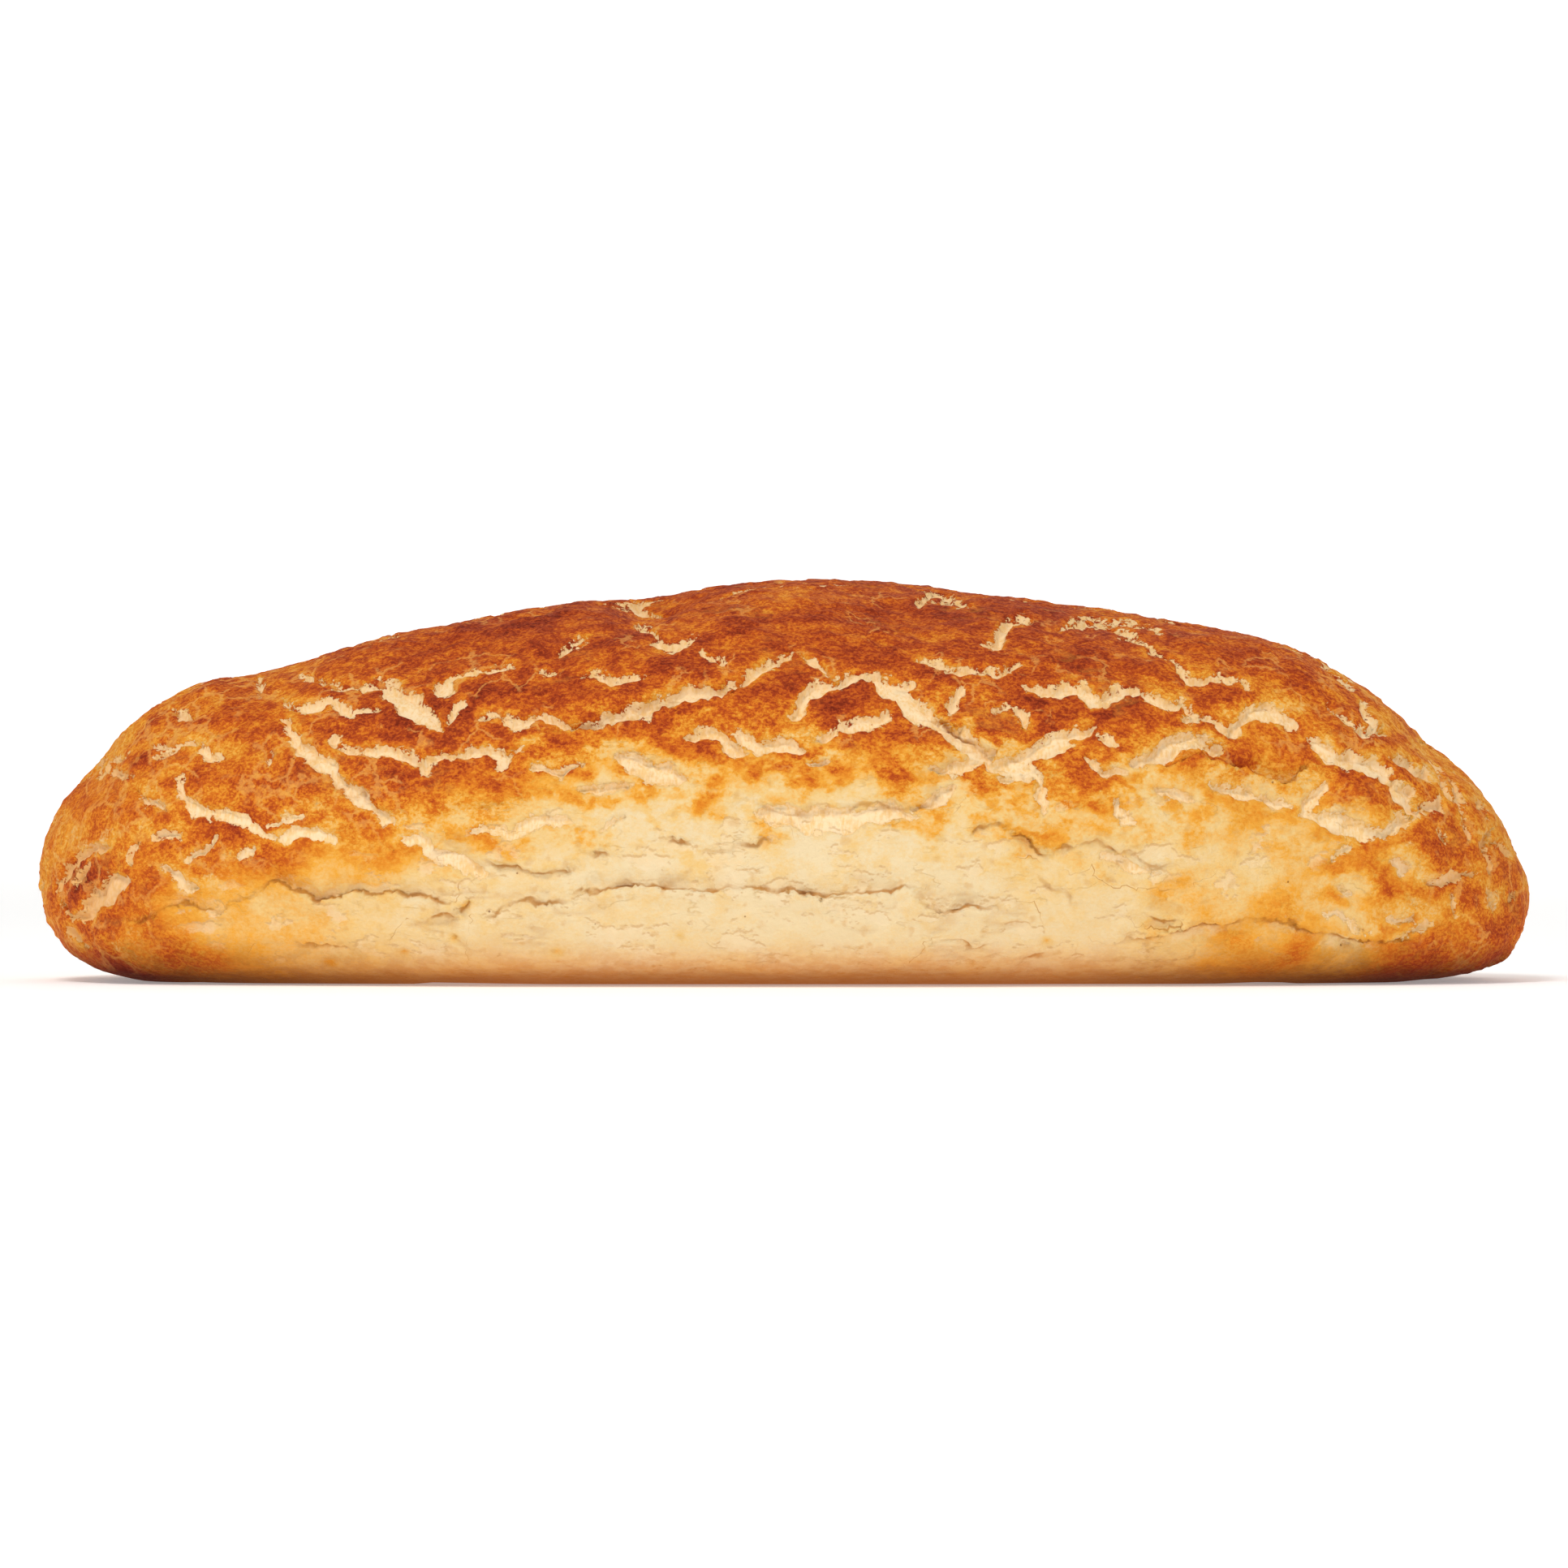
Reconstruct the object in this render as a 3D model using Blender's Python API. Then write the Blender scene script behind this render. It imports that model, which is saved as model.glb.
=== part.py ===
"""Tiger bread loaf: one long oven-baked loaf whose rice-paste crust has cracked into plates.

It is in metres: X along the loaf, -Y towards the side that the photograph shows, Z up. The origin
is on the table, under the middle of the loaf's bounding box.

The loaf is one solid. A unit sphere gives each of its points a direction, loaf_surface() carries
that point out to the plain dough form, and crust_relief() then moves it along its own normal by the
swells, furrows and cracks. A Decimate modifier spends the triangles where the crust has its edges.
"""

import math

import bmesh
import bpy
import numpy as np
from mathutils import Matrix
from mathutils.kdtree import KDTree

# --- Driving dimensions, in metres ---------------------------------------------------------------
LENGTH = 0.330
WIDTH = 0.145
HEIGHT = 0.0887
WIDEST_HEIGHT = 0.031  # where the side bulges out furthest, at mid length
LEFT_TIP_HEIGHT = 0.0245  # the two ends come to their tips at these heights
RIGHT_TIP_HEIGHT = 0.0205
CROWN_RISE = 0.004  # how far the crown stands above the line of the shoulders

# Powers of the superellipses: 2 is an ellipse, more is boxier.
PLAN_POWER = 2.5
LEFT_PROFILE = (2.6, 0.51)  # the top line's power towards each end, and the root that rounds it off
RIGHT_PROFILE = (3.2, 0.66)
DOME_POWER = 2.25
FOOT_POWER = 4.2
FOOT_OVERRUN = 1.05  # the foot's curve would reach this far down, and the table cuts it flat
CORNER_POWER = 16.0  # how squarely the underside turns up at the two ends

# --- The photograph's frame ----------------------------------------------------------------------
# Furrows are placed by pixels of the photograph: it sees the loaf from in front, nearly level.
LEFT_PIXEL, RIGHT_PIXEL = 47, 1883
BASE_PIXEL = 1216
PIXEL = LENGTH / (RIGHT_PIXEL - LEFT_PIXEL)
EYE_DISTANCE = 2.2

# --- Crust ---------------------------------------------------------------------------------------
MILLIMETRE = 0.001
CRACK_DEPTH = 0.0013
CRACK_POINT = 0.0008  # the middle line of a crack has a point this often

# Between its traced cracks, and all over the back, the crust breaks into plates by a rule.
PASTE_EDGE = 0.046  # the tiger paste ends about this high on the sides
PASTE_FADE = 0.016
PLATE_SPACING = 0.019
PLATE_WANDER = 0.0022  # how far a plate's edge strays from a straight line
PLATE_WANDER_LENGTH = 0.022
PLATE_SEED = 11
NETWORK_FRONT = -0.046  # the photograph sees the crust that lies in front of this
NETWORK_FADE = 0.016

LUMP_SEED = 4
LUMP_HEIGHT = 0.0009
LUMP_LENGTH = 0.055
FLAT_FOOT = 0.008  # the relief fades out from this height down to the flat foot

AROUND, ALONG = 360, 380  # divisions of the sphere, before it is decimated
MOST_TRIANGLES = 11400

# Swells of the dough: pixel, radius in mm, height in mm. A negative height is a dip.
SWELLS = {
    "left_shoulder": ((286, 848), 13, 0.8),
    "behind_left_shoulder": ((345, 800), 24, -3.4),
    "crown_step": ((796, 741), 9, -2.4),
    "crown": ((1000, 718), 45, 1000 * CROWN_RISE),
    "crown_valley": ((1112, 776), 13, -2.2),
    "right_shoulder": ((1600, 822), 26, 2.4),
    "right_nick": ((1777, 928), 9, -1.6),
    "right_cheek": ((1700, 968), 17, 1.8),
    "right_dimple": ((1585, 945), 11, -2.6),
    "brow_over_band": ((1040, 965), 30, 1.6),
    "belly": ((960, 1150), 55, 0.8),
}

# Cracks that open the pale crumb: width in mm, then the pixels that the middle line runs through.
CRACKS = {
    "long_diagonal": (3.6, [(585, 883), (662, 881), (709, 894), (763, 881), (839, 855), (890, 840), (977, 799)]),
    "deep_left_y": (4.0, [(445, 840), (493, 858), (531, 888), (541, 905)]),
    "left_y_arm": (3.0, [(560, 826), (531, 862)]),
    "left_river": (3.2, [(345, 883), (358, 909), (401, 944), (432, 980), (476, 1011)]),
    "left_branch": (2.8, [(412, 921), (483, 924), (519, 941), (560, 929), (618, 932), (644, 919)]),
    "left_hook": (2.8, [(212, 956), (242, 999), (300, 1012), (336, 1032), (413, 1038)]),
    "left_low": (2.6, [(487, 1034), (543, 1054), (599, 1075)]),
    "left_window": (4.2, [(756, 932), (800, 950), (845, 960)]),
    "middle_window": (3.4, [(842, 908), (893, 904), (945, 922), (997, 920)]),
    "middle_arch": (3.0, [(965, 892), (985, 860), (1032, 838), (1073, 833)]),
    "middle_lower_arch": (2.8, [(1020, 902), (1050, 889), (1098, 873)]),
    "great_diagonal": (4.4, [(1073, 833), (1129, 873), (1175, 899), (1218, 937), (1280, 950)]),
    "great_arm": (3.6, [(1230, 939), (1281, 924), (1332, 899), (1352, 896)]),
    "right_upper": (2.8, [(1263, 842), (1319, 845), (1363, 863), (1409, 850), (1460, 860)]),
    "right_window": (3.4, [(1518, 904), (1545, 880), (1585, 883), (1610, 899)]),
    "right_fold": (3.6, [(1393, 937), (1447, 919), (1493, 914)]),
    "right_river": (3.8, [(1620, 910), (1683, 936), (1716, 964), (1747, 1004)]),
    "right_hook": (3.4, [(1607, 1005), (1663, 1015), (1705, 1030), (1744, 1007)]),
}

# Tears in the side, where the crust above hangs over: width and depth in mm, then pixels.
TEARS = {
    "waist_left": (2.2, 1.3, [(168, 1128), (265, 1123), (331, 1090), (397, 1105), (510, 1108)]),
    "waist_middle": (2.4, 1.9, [(612, 1116), (721, 1099), (829, 1097), (913, 1096), (994, 1102), (1127, 1091)]),
    "waist_right": (2.2, 1.6, [(1125, 1103), (1169, 1123), (1215, 1121), (1253, 1103)]),
    "band_under_brow": (3.4, 1.9, [(928, 996), (1000, 999), (1060, 998), (1135, 994), (1165, 976)]),
    "right_side": (2.4, 1.4, [(1245, 1028), (1289, 1046), (1345, 1038), (1398, 1049), (1457, 1062)]),
    "left_side": (2.2, 1.2, [(604, 1065), (675, 1071), (706, 1058), (747, 1054)]),
    "right_brow": (3.0, 1.8, [(1442, 941), (1500, 942), (1582, 964), (1623, 950)]),
}
TEAR_REACH = 0.006
LIP_SHARE = 0.48  # how much of a tear's depth stands out as the lip above it
LIP_ABOVE = 0.0025
LIP_WIDTH = 0.0022


def clear_scene():
    for old in list(bpy.data.objects):
        bpy.data.objects.remove(old)


def smooth_step(value, low, high):
    t = np.clip((value - low) / (high - low), 0.0, 1.0)
    return t * t * (3.0 - 2.0 * t)


def superellipse(across, up, power):
    """How far the unit direction (across, up) is scaled to reach the superellipse of that power."""
    return (np.abs(across) ** power + np.abs(up) ** power) ** (-1.0 / power)


def side_profile(u):
    """Top height, widest height and underside height at the share u of the half length."""
    tip = np.where(u < 0, LEFT_TIP_HEIGHT, RIGHT_TIP_HEIGHT)
    power = np.where(u < 0, LEFT_PROFILE[0], RIGHT_PROFILE[0])
    root = np.where(u < 0, LEFT_PROFILE[1], RIGHT_PROFILE[1])
    top = tip + (HEIGHT - CROWN_RISE - tip) * np.clip(1.0 - np.abs(u) ** power, 0.0, 1.0) ** root
    widest = tip + (WIDEST_HEIGHT - tip) * (1.0 - u**4)
    corner = np.clip(1.0 - np.abs(u) ** CORNER_POWER, 0.0, 1.0) ** 0.5
    underside = widest * (1.0 - FOOT_OVERRUN * corner)
    return top, widest, underside


def loaf_surface(directions):
    """The point of the plain dough form that each unit direction reaches."""
    ring = np.hypot(directions[:, 1], directions[:, 2])
    scale = superellipse(directions[:, 0], ring, PLAN_POWER)
    u = directions[:, 0] * scale
    half_width = 0.5 * WIDTH * ring * scale
    top, widest, underside = side_profile(u)
    across = directions[:, 1] / np.maximum(ring, 1e-9)
    up = directions[:, 2] / np.maximum(ring, 1e-9)
    dome = superellipse(across, up, DOME_POWER)
    foot = superellipse(across, up, FOOT_POWER)
    over = up >= 0
    y = half_width * across * np.where(over, dome, foot)
    z = widest + np.where(over, (top - widest) * up * dome, (widest - underside) * up * foot)
    return np.column_stack([0.5 * LENGTH * u, y, np.maximum(z, 0.0)])


def front_depth(x, z):
    """How far in front of the loaf's middle plane its plain side is, at that place in front view."""
    u = np.clip(2.0 * x / LENGTH, -0.999, 0.999)
    top, widest, underside = side_profile(u)
    half_width = 0.5 * WIDTH * (1.0 - abs(u) ** PLAN_POWER) ** (1.0 / PLAN_POWER)
    reach, power = (top - widest, DOME_POWER) if z > widest else (widest - underside, FOOT_POWER)
    rise = min(abs(z - widest) / reach, 1.0)
    return float(half_width * (1.0 - rise**power) ** (1.0 / power))


def on_front(pixel):
    """The point of the loaf's front that the photograph shows at that pixel."""
    across = (pixel[0] - 0.5 * (LEFT_PIXEL + RIGHT_PIXEL)) * PIXEL
    above_eye = (BASE_PIXEL - pixel[1]) * PIXEL - 0.5 * HEIGHT
    depth = 0.0
    for _ in range(6):
        nearer = 1.0 - depth / EYE_DISTANCE
        x, z = across * nearer, 0.5 * HEIGHT + above_eye * nearer
        depth = front_depth(x, z)
    return np.array([x, -depth, z])


def line_on_front(pixels):
    """Close points along a smooth line through those pixels, laid on the loaf's front."""
    ends = [2 * np.array(pixels[0]) - pixels[1], 2 * np.array(pixels[-1]) - pixels[-2]]
    knots = np.array([ends[0], *pixels, ends[1]], float)
    points = []
    for a, b, c, d in zip(knots, knots[1:], knots[2:], knots[3:]):
        pieces = max(2, math.ceil(np.linalg.norm(c - b) * PIXEL / CRACK_POINT))
        for t in np.linspace(0.0, 1.0, pieces, endpoint=False):
            bend = (2 * a - 5 * b + 4 * c - d) * t**2 + (3 * b - a - 3 * c + d) * t**3
            points.append(on_front(b + 0.5 * ((c - a) * t + bend)))
    return np.array(points)


def tree_of(points):
    tree = KDTree(len(points))
    for index, point in enumerate(points):
        tree.insert(point, index)
    tree.balance()
    return tree


def waves(points, wavelength, seed, count=14):
    """A smooth random field between about -1 and 1: plane waves in seeded directions."""
    chance = np.random.default_rng(seed)
    ways = chance.normal(size=(count, 3))
    ways /= np.linalg.norm(ways, axis=1)[:, None]
    lengths = wavelength * chance.uniform(0.7, 1.5, count)
    phases = chance.uniform(0.0, 2.0 * math.pi, count)
    turns = points @ (ways * (2.0 * math.pi / lengths)[:, None]).T + phases
    return np.sin(turns).sum(axis=1) / math.sqrt(2.0 * count)


def swell_relief(points):
    """The broad lumps and dips of the dough."""
    rise = LUMP_HEIGHT * waves(points, LUMP_LENGTH, LUMP_SEED)
    for pixel, radius, height in SWELLS.values():
        away = np.linalg.norm(points - on_front(pixel), axis=1)
        rise += MILLIMETRE * height * np.exp(-((away / (MILLIMETRE * radius)) ** 2))
    return rise


def furrow(away, half_width, depth):
    """How deep a round-bottomed furrow is, that far from its middle line."""
    return depth * (1.0 - smooth_step(away, 0.25 * half_width, 1.35 * half_width))


def crack_relief(points):
    """Furrows along the cracks that the photograph shows. Each narrows towards its ends."""
    lines, halves = [], []
    for width, pixels in CRACKS.values():
        line = line_on_front(pixels)
        share = np.linspace(0.0, 1.0, len(line))
        lines.append(line)
        halves.append(0.5 * MILLIMETRE * width * (0.45 + 0.55 * np.sin(math.pi * share) ** 0.5))
    halves = np.concatenate(halves)
    tree = tree_of(np.concatenate(lines))
    depth = np.zeros(len(points))
    for i in np.flatnonzero(points[:, 1] < 0):
        _, index, away = tree.find(points[i])
        depth[i] = furrow(away, halves[index], CRACK_DEPTH)
    return depth


def tear_relief(points):
    """Tears sink below their line and stand out as a lip above it."""
    change = np.zeros(len(points))
    for width, deep, pixels in TEARS.values():
        line = line_on_front(pixels)
        tree = tree_of(line)
        depth = MILLIMETRE * deep * np.sin(math.pi * np.linspace(0.02, 0.98, len(line))) ** 0.6
        near = (points[:, 1] < 0) & (points[:, 2] > line[:, 2].min() - TEAR_REACH)
        near &= (points[:, 2] < line[:, 2].max() + TEAR_REACH)
        for i in np.flatnonzero(near):
            place, index, away = tree.find(points[i])
            if away > TEAR_REACH:
                continue
            change[i] -= furrow(away, 0.5 * MILLIMETRE * width, depth[index])
            if points[i, 2] > place[2]:
                lip = math.exp(-(((away - LIP_ABOVE) / LIP_WIDTH) ** 2))
                change[i] += LIP_SHARE * depth[index] * lip
    return change


def plate_seeds(points):
    """Middles of the crust plates on the back and the top, no two closer than PLATE_SPACING."""
    chance = np.random.default_rng(PLATE_SEED)
    behind = points[:, 1] > NETWORK_FRONT - 0.25 * PLATE_SPACING
    on_crust = np.flatnonzero(behind & (points[:, 2] > PASTE_EDGE - PLATE_SPACING))
    chosen = []
    for i in chance.permutation(on_crust):
        if all(np.linalg.norm(points[i] - other) > PLATE_SPACING for other in chosen):
            chosen.append(points[i])
    return np.array(chosen)


def network_relief(points):
    """Cracks between the plates where the photograph doesn't look: the back, and over the top."""
    seeds = plate_seeds(points)
    tree = tree_of(seeds)
    widths = np.random.default_rng(PLATE_SEED + 1).uniform(-0.7, 2.1, (len(seeds), len(seeds)))
    drift = [waves(points, PLATE_WANDER_LENGTH, PLATE_SEED + 2 + axis) for axis in range(3)]
    warped = points + PLATE_WANDER * np.column_stack(drift)
    opening = 0.5 * waves(points, 1.5 * PLATE_WANDER_LENGTH, PLATE_SEED + 5)
    depth = np.zeros(len(points))
    low = PASTE_EDGE - PASTE_FADE
    for i in np.flatnonzero((points[:, 1] > NETWORK_FRONT) & (points[:, 2] > low)):
        (_, a, near), (_, b, far) = tree.find_n(warped[i], 2)
        away = (far**2 - near**2) / (2.0 * np.linalg.norm(seeds[a] - seeds[b]))
        half_width = widths[min(a, b), max(a, b)] + opening[i]
        if half_width > 0:
            open_depth = CRACK_DEPTH * min(half_width, 1.0)
            depth[i] = furrow(away, MILLIMETRE * max(half_width, 1.0), open_depth)
    depth *= smooth_step(points[:, 2], low, PASTE_EDGE)
    return depth * smooth_step(points[:, 1], NETWORK_FRONT, NETWORK_FRONT + NETWORK_FADE)


def crust_relief(points):
    """How far each point moves along its normal. The flat of the foot stays where it is."""
    rise = swell_relief(points) + tear_relief(points)
    rise -= np.maximum(crack_relief(points), network_relief(points))
    return rise * smooth_step(points[:, 2], 0.0, FLAT_FOOT)


def vectors(items, name, count):
    found = np.empty(3 * count)
    items.foreach_get(name, found)
    return found.reshape(-1, 3)


def to_size(points):
    """The loaf's box brought to its driving dimensions, with the origin under its middle."""
    low, high = points.min(axis=0), points.max(axis=0)
    middle = 0.5 * (low + high)
    middle[2] = low[2]
    return (points - middle) * (np.array([LENGTH, WIDTH, HEIGHT]) / (high - low))


def baked_crust():
    material = bpy.data.materials.new("baked_crust")
    material.use_nodes = True
    shader = material.node_tree.nodes["Principled BSDF"]
    shader.inputs["Base Color"].default_value = (0.62, 0.29, 0.075, 1.0)
    shader.inputs["Roughness"].default_value = 0.7
    shader.inputs["Metallic"].default_value = 0.0
    return material


def make_loaf():
    shape = bmesh.new()
    bmesh.ops.create_uvsphere(shape, u_segments=AROUND, v_segments=ALONG, radius=1.0)
    bmesh.ops.rotate(shape, verts=shape.verts, matrix=Matrix.Rotation(math.pi / 2, 3, "Y"))
    mesh = bpy.data.meshes.new("loaf")
    shape.to_mesh(mesh)
    shape.free()

    count = len(mesh.vertices)
    plain = loaf_surface(vectors(mesh.vertices, "co", count))
    mesh.vertices.foreach_set("co", plain.ravel())
    mesh.update()
    normals = vectors(mesh.vertex_normals, "vector", count)
    baked = plain + normals * crust_relief(plain)[:, None]
    baked[:, 2] = np.maximum(baked[:, 2], 0.0)
    mesh.vertices.foreach_set("co", to_size(baked).ravel())
    mesh.update()

    loaf = bpy.data.objects.new("loaf", mesh)
    mesh.materials.append(baked_crust())
    folder = bpy.data.collections.new("tiger_bread_loaf")
    bpy.context.scene.collection.children.link(folder)
    folder.objects.link(loaf)

    thin = loaf.modifiers.new("keep_the_edges", "DECIMATE")
    thin.ratio = MOST_TRIANGLES / (2.0 * AROUND * (ALONG - 1))
    thin.use_collapse_triangulate = True
    return loaf


clear_scene()
make_loaf()
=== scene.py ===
# %% [markdown]
# # A tiger bread loaf
# A tiger bread is a plain white loaf that is painted with rice paste before it is baked. The dough
# swells in the oven and the paste can't stretch, so it breaks into brown plates with pale crumb
# showing between them. This file dresses one such loaf. The solid model gives its place and size,
# and every size here is in metres: X along the loaf, -Y towards the viewer, Z up.

import math

import bmesh
import bpy
import numpy as np
from mathutils import Matrix, Vector


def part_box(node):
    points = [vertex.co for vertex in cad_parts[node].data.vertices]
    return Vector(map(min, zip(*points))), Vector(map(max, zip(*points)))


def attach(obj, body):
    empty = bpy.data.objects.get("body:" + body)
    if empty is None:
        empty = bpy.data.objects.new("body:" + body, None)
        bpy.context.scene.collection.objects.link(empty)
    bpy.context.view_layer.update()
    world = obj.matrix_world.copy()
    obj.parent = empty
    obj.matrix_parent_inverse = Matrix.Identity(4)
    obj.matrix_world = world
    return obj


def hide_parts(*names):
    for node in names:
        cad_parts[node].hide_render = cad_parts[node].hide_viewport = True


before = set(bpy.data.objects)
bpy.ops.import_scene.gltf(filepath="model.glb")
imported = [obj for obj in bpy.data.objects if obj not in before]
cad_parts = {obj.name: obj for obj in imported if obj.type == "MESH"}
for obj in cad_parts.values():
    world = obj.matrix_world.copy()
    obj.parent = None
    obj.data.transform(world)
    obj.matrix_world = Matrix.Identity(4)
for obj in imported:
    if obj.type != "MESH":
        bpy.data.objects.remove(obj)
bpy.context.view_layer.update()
LOW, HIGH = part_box("loaf")
LENGTH, WIDTH, HEIGHT = HIGH - LOW
MILLIMETRE = 0.001
print("the loaf's box in mm:", [round(1000 * side, 1) for side in (LENGTH, WIDTH, HEIGHT)])

# %% [markdown]
# ## Helpers
# Colours are written as the sRGB hex codes that any paint program shows. Blender works with linear
# light, so one function converts them. A second small function adds a node to a tree, sets it up and
# hands back one of its outputs, so that a chain of nodes reads like a formula. The nodes used most
# have a short word and take their inputs in order: a range takes a value, the two ends it has and the
# two ends they become, and a noise takes a place, a seed, waves to a unit of length, octaves and
# roughness.


# %% Colour and node helpers
def linear(code):
    """A hex colour such as f5d9a8 as linear red, green, blue and an alpha of one."""
    shares = [int(code[i : i + 2], 16) / 255 for i in (0, 2, 4)]
    return [s / 12.92 if s <= 0.04045 else ((s + 0.055) / 1.055) ** 2.4 for s in shares] + [1.0]


# The nodes used most: a short word, Blender's name and the settings that go with it.
KINDS = {
    "split": ("ShaderNodeSeparateXYZ", {}),
    "join": ("ShaderNodeCombineXYZ", {}),
    "noise": ("ShaderNodeTexNoise", {"noise_dimensions": "4D"}),
    "cells": ("ShaderNodeTexVoronoi", {}),
    "cell_edges": ("ShaderNodeTexVoronoi", {"feature": "DISTANCE_TO_EDGE"}),
    "range": ("ShaderNodeMapRange", {}),
    "smooth": ("ShaderNodeMapRange", {"interpolation_type": "SMOOTHSTEP"}),
    "smoother": ("ShaderNodeMapRange", {"interpolation_type": "SMOOTHERSTEP"}),
    "mix": ("ShaderNodeMix", {}),
    "blend": ("ShaderNodeMix", {"data_type": "RGBA"}),
}
SUMS = "ADD SUBTRACT MULTIPLY DIVIDE MULTIPLY_ADD MINIMUM MAXIMUM ABSOLUTE SIGN LESS_THAN ARCTAN2"
VECTOR_SUMS = "ADD SUBTRACT MULTIPLY MULTIPLY_ADD SCALE LENGTH"
for word in SUMS.split():
    KINDS[word.lower()] = ("ShaderNodeMath", {"operation": word})
for word in VECTOR_SUMS.split():
    KINDS["vector_" + word.lower()] = ("ShaderNodeVectorMath", {"operation": word})


def add(tree, kind, inputs=(), output=0, **settings):
    """Adds one node, fills or links its inputs, and hands back one of its outputs."""
    blender_name, usual = KINDS.get(kind, (kind, {}))
    node = tree.nodes.new(blender_name)
    for name, value in (usual | settings).items():
        setattr(node, name, value)
    for key, value in inputs.items() if isinstance(inputs, dict) else enumerate(inputs):
        if isinstance(value, bpy.types.NodeSocket):
            tree.links.new(value, node.inputs[key])
        else:
            node.inputs[key].default_value = value
    return node.outputs[output]


# %% [markdown]
# ## The dough form
# Under its crust the loaf is a soft shape with a rule: seen from above it is an oblong between an
# ellipse and a box, its side bulges out low down, and its top line falls to the two ends. Each of
# these outlines is a superellipse, so the form is a formula rather than a sculpt. The same formula
# then finds the place on the loaf's front for any point of the photograph, which is how the cracks
# get to their places further down.

# %% The outlines of the dough
WIDEST_HEIGHT = 0.031
LEFT_TIP_HEIGHT = 0.0245
RIGHT_TIP_HEIGHT = 0.0205
CROWN_RISE = 0.004
PLAN_POWER = 2.5
LEFT_PROFILE = (2.6, 0.51)
RIGHT_PROFILE = (3.2, 0.66)
DOME_POWER = 2.25
FOOT_POWER = 4.2
FOOT_OVERRUN = 1.05
CORNER_POWER = 16.0


def smooth_step(value, low, high):
    t = np.clip((value - low) / (high - low), 0.0, 1.0)
    return t * t * (3.0 - 2.0 * t)


def superellipse(across, up, power):
    """How far the unit direction (across, up) is scaled to reach the superellipse of that power."""
    return (np.abs(across) ** power + np.abs(up) ** power) ** (-1.0 / power)


def side_profile(u):
    """Top height, widest height and underside height at the share u of the half length."""
    tip = np.where(u < 0, LEFT_TIP_HEIGHT, RIGHT_TIP_HEIGHT)
    power = np.where(u < 0, LEFT_PROFILE[0], RIGHT_PROFILE[0])
    root = np.where(u < 0, LEFT_PROFILE[1], RIGHT_PROFILE[1])
    top = tip + (HEIGHT - CROWN_RISE - tip) * np.clip(1.0 - np.abs(u) ** power, 0.0, 1.0) ** root
    widest = tip + (WIDEST_HEIGHT - tip) * (1.0 - u**4)
    corner = np.clip(1.0 - np.abs(u) ** CORNER_POWER, 0.0, 1.0) ** 0.5
    return top, widest, widest * (1.0 - FOOT_OVERRUN * corner)


def dough_surface(directions):
    """The point of the plain dough form that each unit direction reaches."""
    ring = np.hypot(directions[:, 1], directions[:, 2])
    scale = superellipse(directions[:, 0], ring, PLAN_POWER)
    u = directions[:, 0] * scale
    top, widest, underside = side_profile(u)
    across = directions[:, 1] / np.maximum(ring, 1e-9)
    up = directions[:, 2] / np.maximum(ring, 1e-9)
    dome = superellipse(across, up, DOME_POWER)
    foot = superellipse(across, up, FOOT_POWER)
    over = up >= 0
    y = 0.5 * WIDTH * ring * scale * across * np.where(over, dome, foot)
    z = widest + np.where(over, (top - widest) * up * dome, (widest - underside) * up * foot)
    return np.column_stack([0.5 * LENGTH * u, y, np.maximum(z, 0.0)])


# %% [markdown]
# ## From a point of the photograph to a point of the loaf
# The photograph looks at the loaf's long side from far away and almost level, so a pixel gives X and
# Z nearly as they are. The dough's formula then gives Y. What lies nearer to the eye looks a little
# larger, so the sum is repeated until its depth settles.

# %% Placing by pixel
LEFT_PIXEL, RIGHT_PIXEL = 47, 1883
PICTURE_PIXELS = 1932
PIXEL = LENGTH / (RIGHT_PIXEL - LEFT_PIXEL)
EYE_DISTANCE = 2.2
EYE_ELEVATION = math.radians(0.3)
EYE_HEIGHT = 0.0432  # the height on the loaf's middle plane that the middle of the picture shows
print(f"one pixel of the photograph is {1000 * PIXEL:.3f} mm on the loaf")


def front_depth(x, z):
    """How far in front of its middle plane the dough's side is, at that place in front view."""
    u = np.clip(2.0 * x / LENGTH, -0.999, 0.999)
    top, widest, underside = side_profile(u)
    half_width = 0.5 * WIDTH * (1.0 - np.abs(u) ** PLAN_POWER) ** (1.0 / PLAN_POWER)
    over = z > widest
    reach = np.where(over, top - widest, widest - underside)
    power = np.where(over, DOME_POWER, FOOT_POWER)
    rise = np.minimum(np.abs(z - widest) / reach, 1.0)
    return half_width * (1.0 - rise**power) ** (1.0 / power)


def on_front(pixels):
    """The points of the loaf's front that the photograph shows at those pixels."""
    pixels = np.atleast_2d(np.array(pixels, float))
    across = (pixels[:, 0] - 0.5 * (LEFT_PIXEL + RIGHT_PIXEL)) * PIXEL
    above = (0.5 * PICTURE_PIXELS - pixels[:, 1]) * PIXEL
    depth = np.zeros(len(pixels))
    for _ in range(6):
        nearer = 1.0 - depth / EYE_DISTANCE
        x = across * nearer
        z = EYE_HEIGHT + above * nearer + depth * math.sin(EYE_ELEVATION)
        depth = front_depth(x, z)
    return np.column_stack([x, -depth, z])


# %% [markdown]
# ## The camera comes first
# A long lens from far off flattens perspective as the photograph does. The lens follows from the
# distance and from how much of the picture's width the loaf fills.

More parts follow.
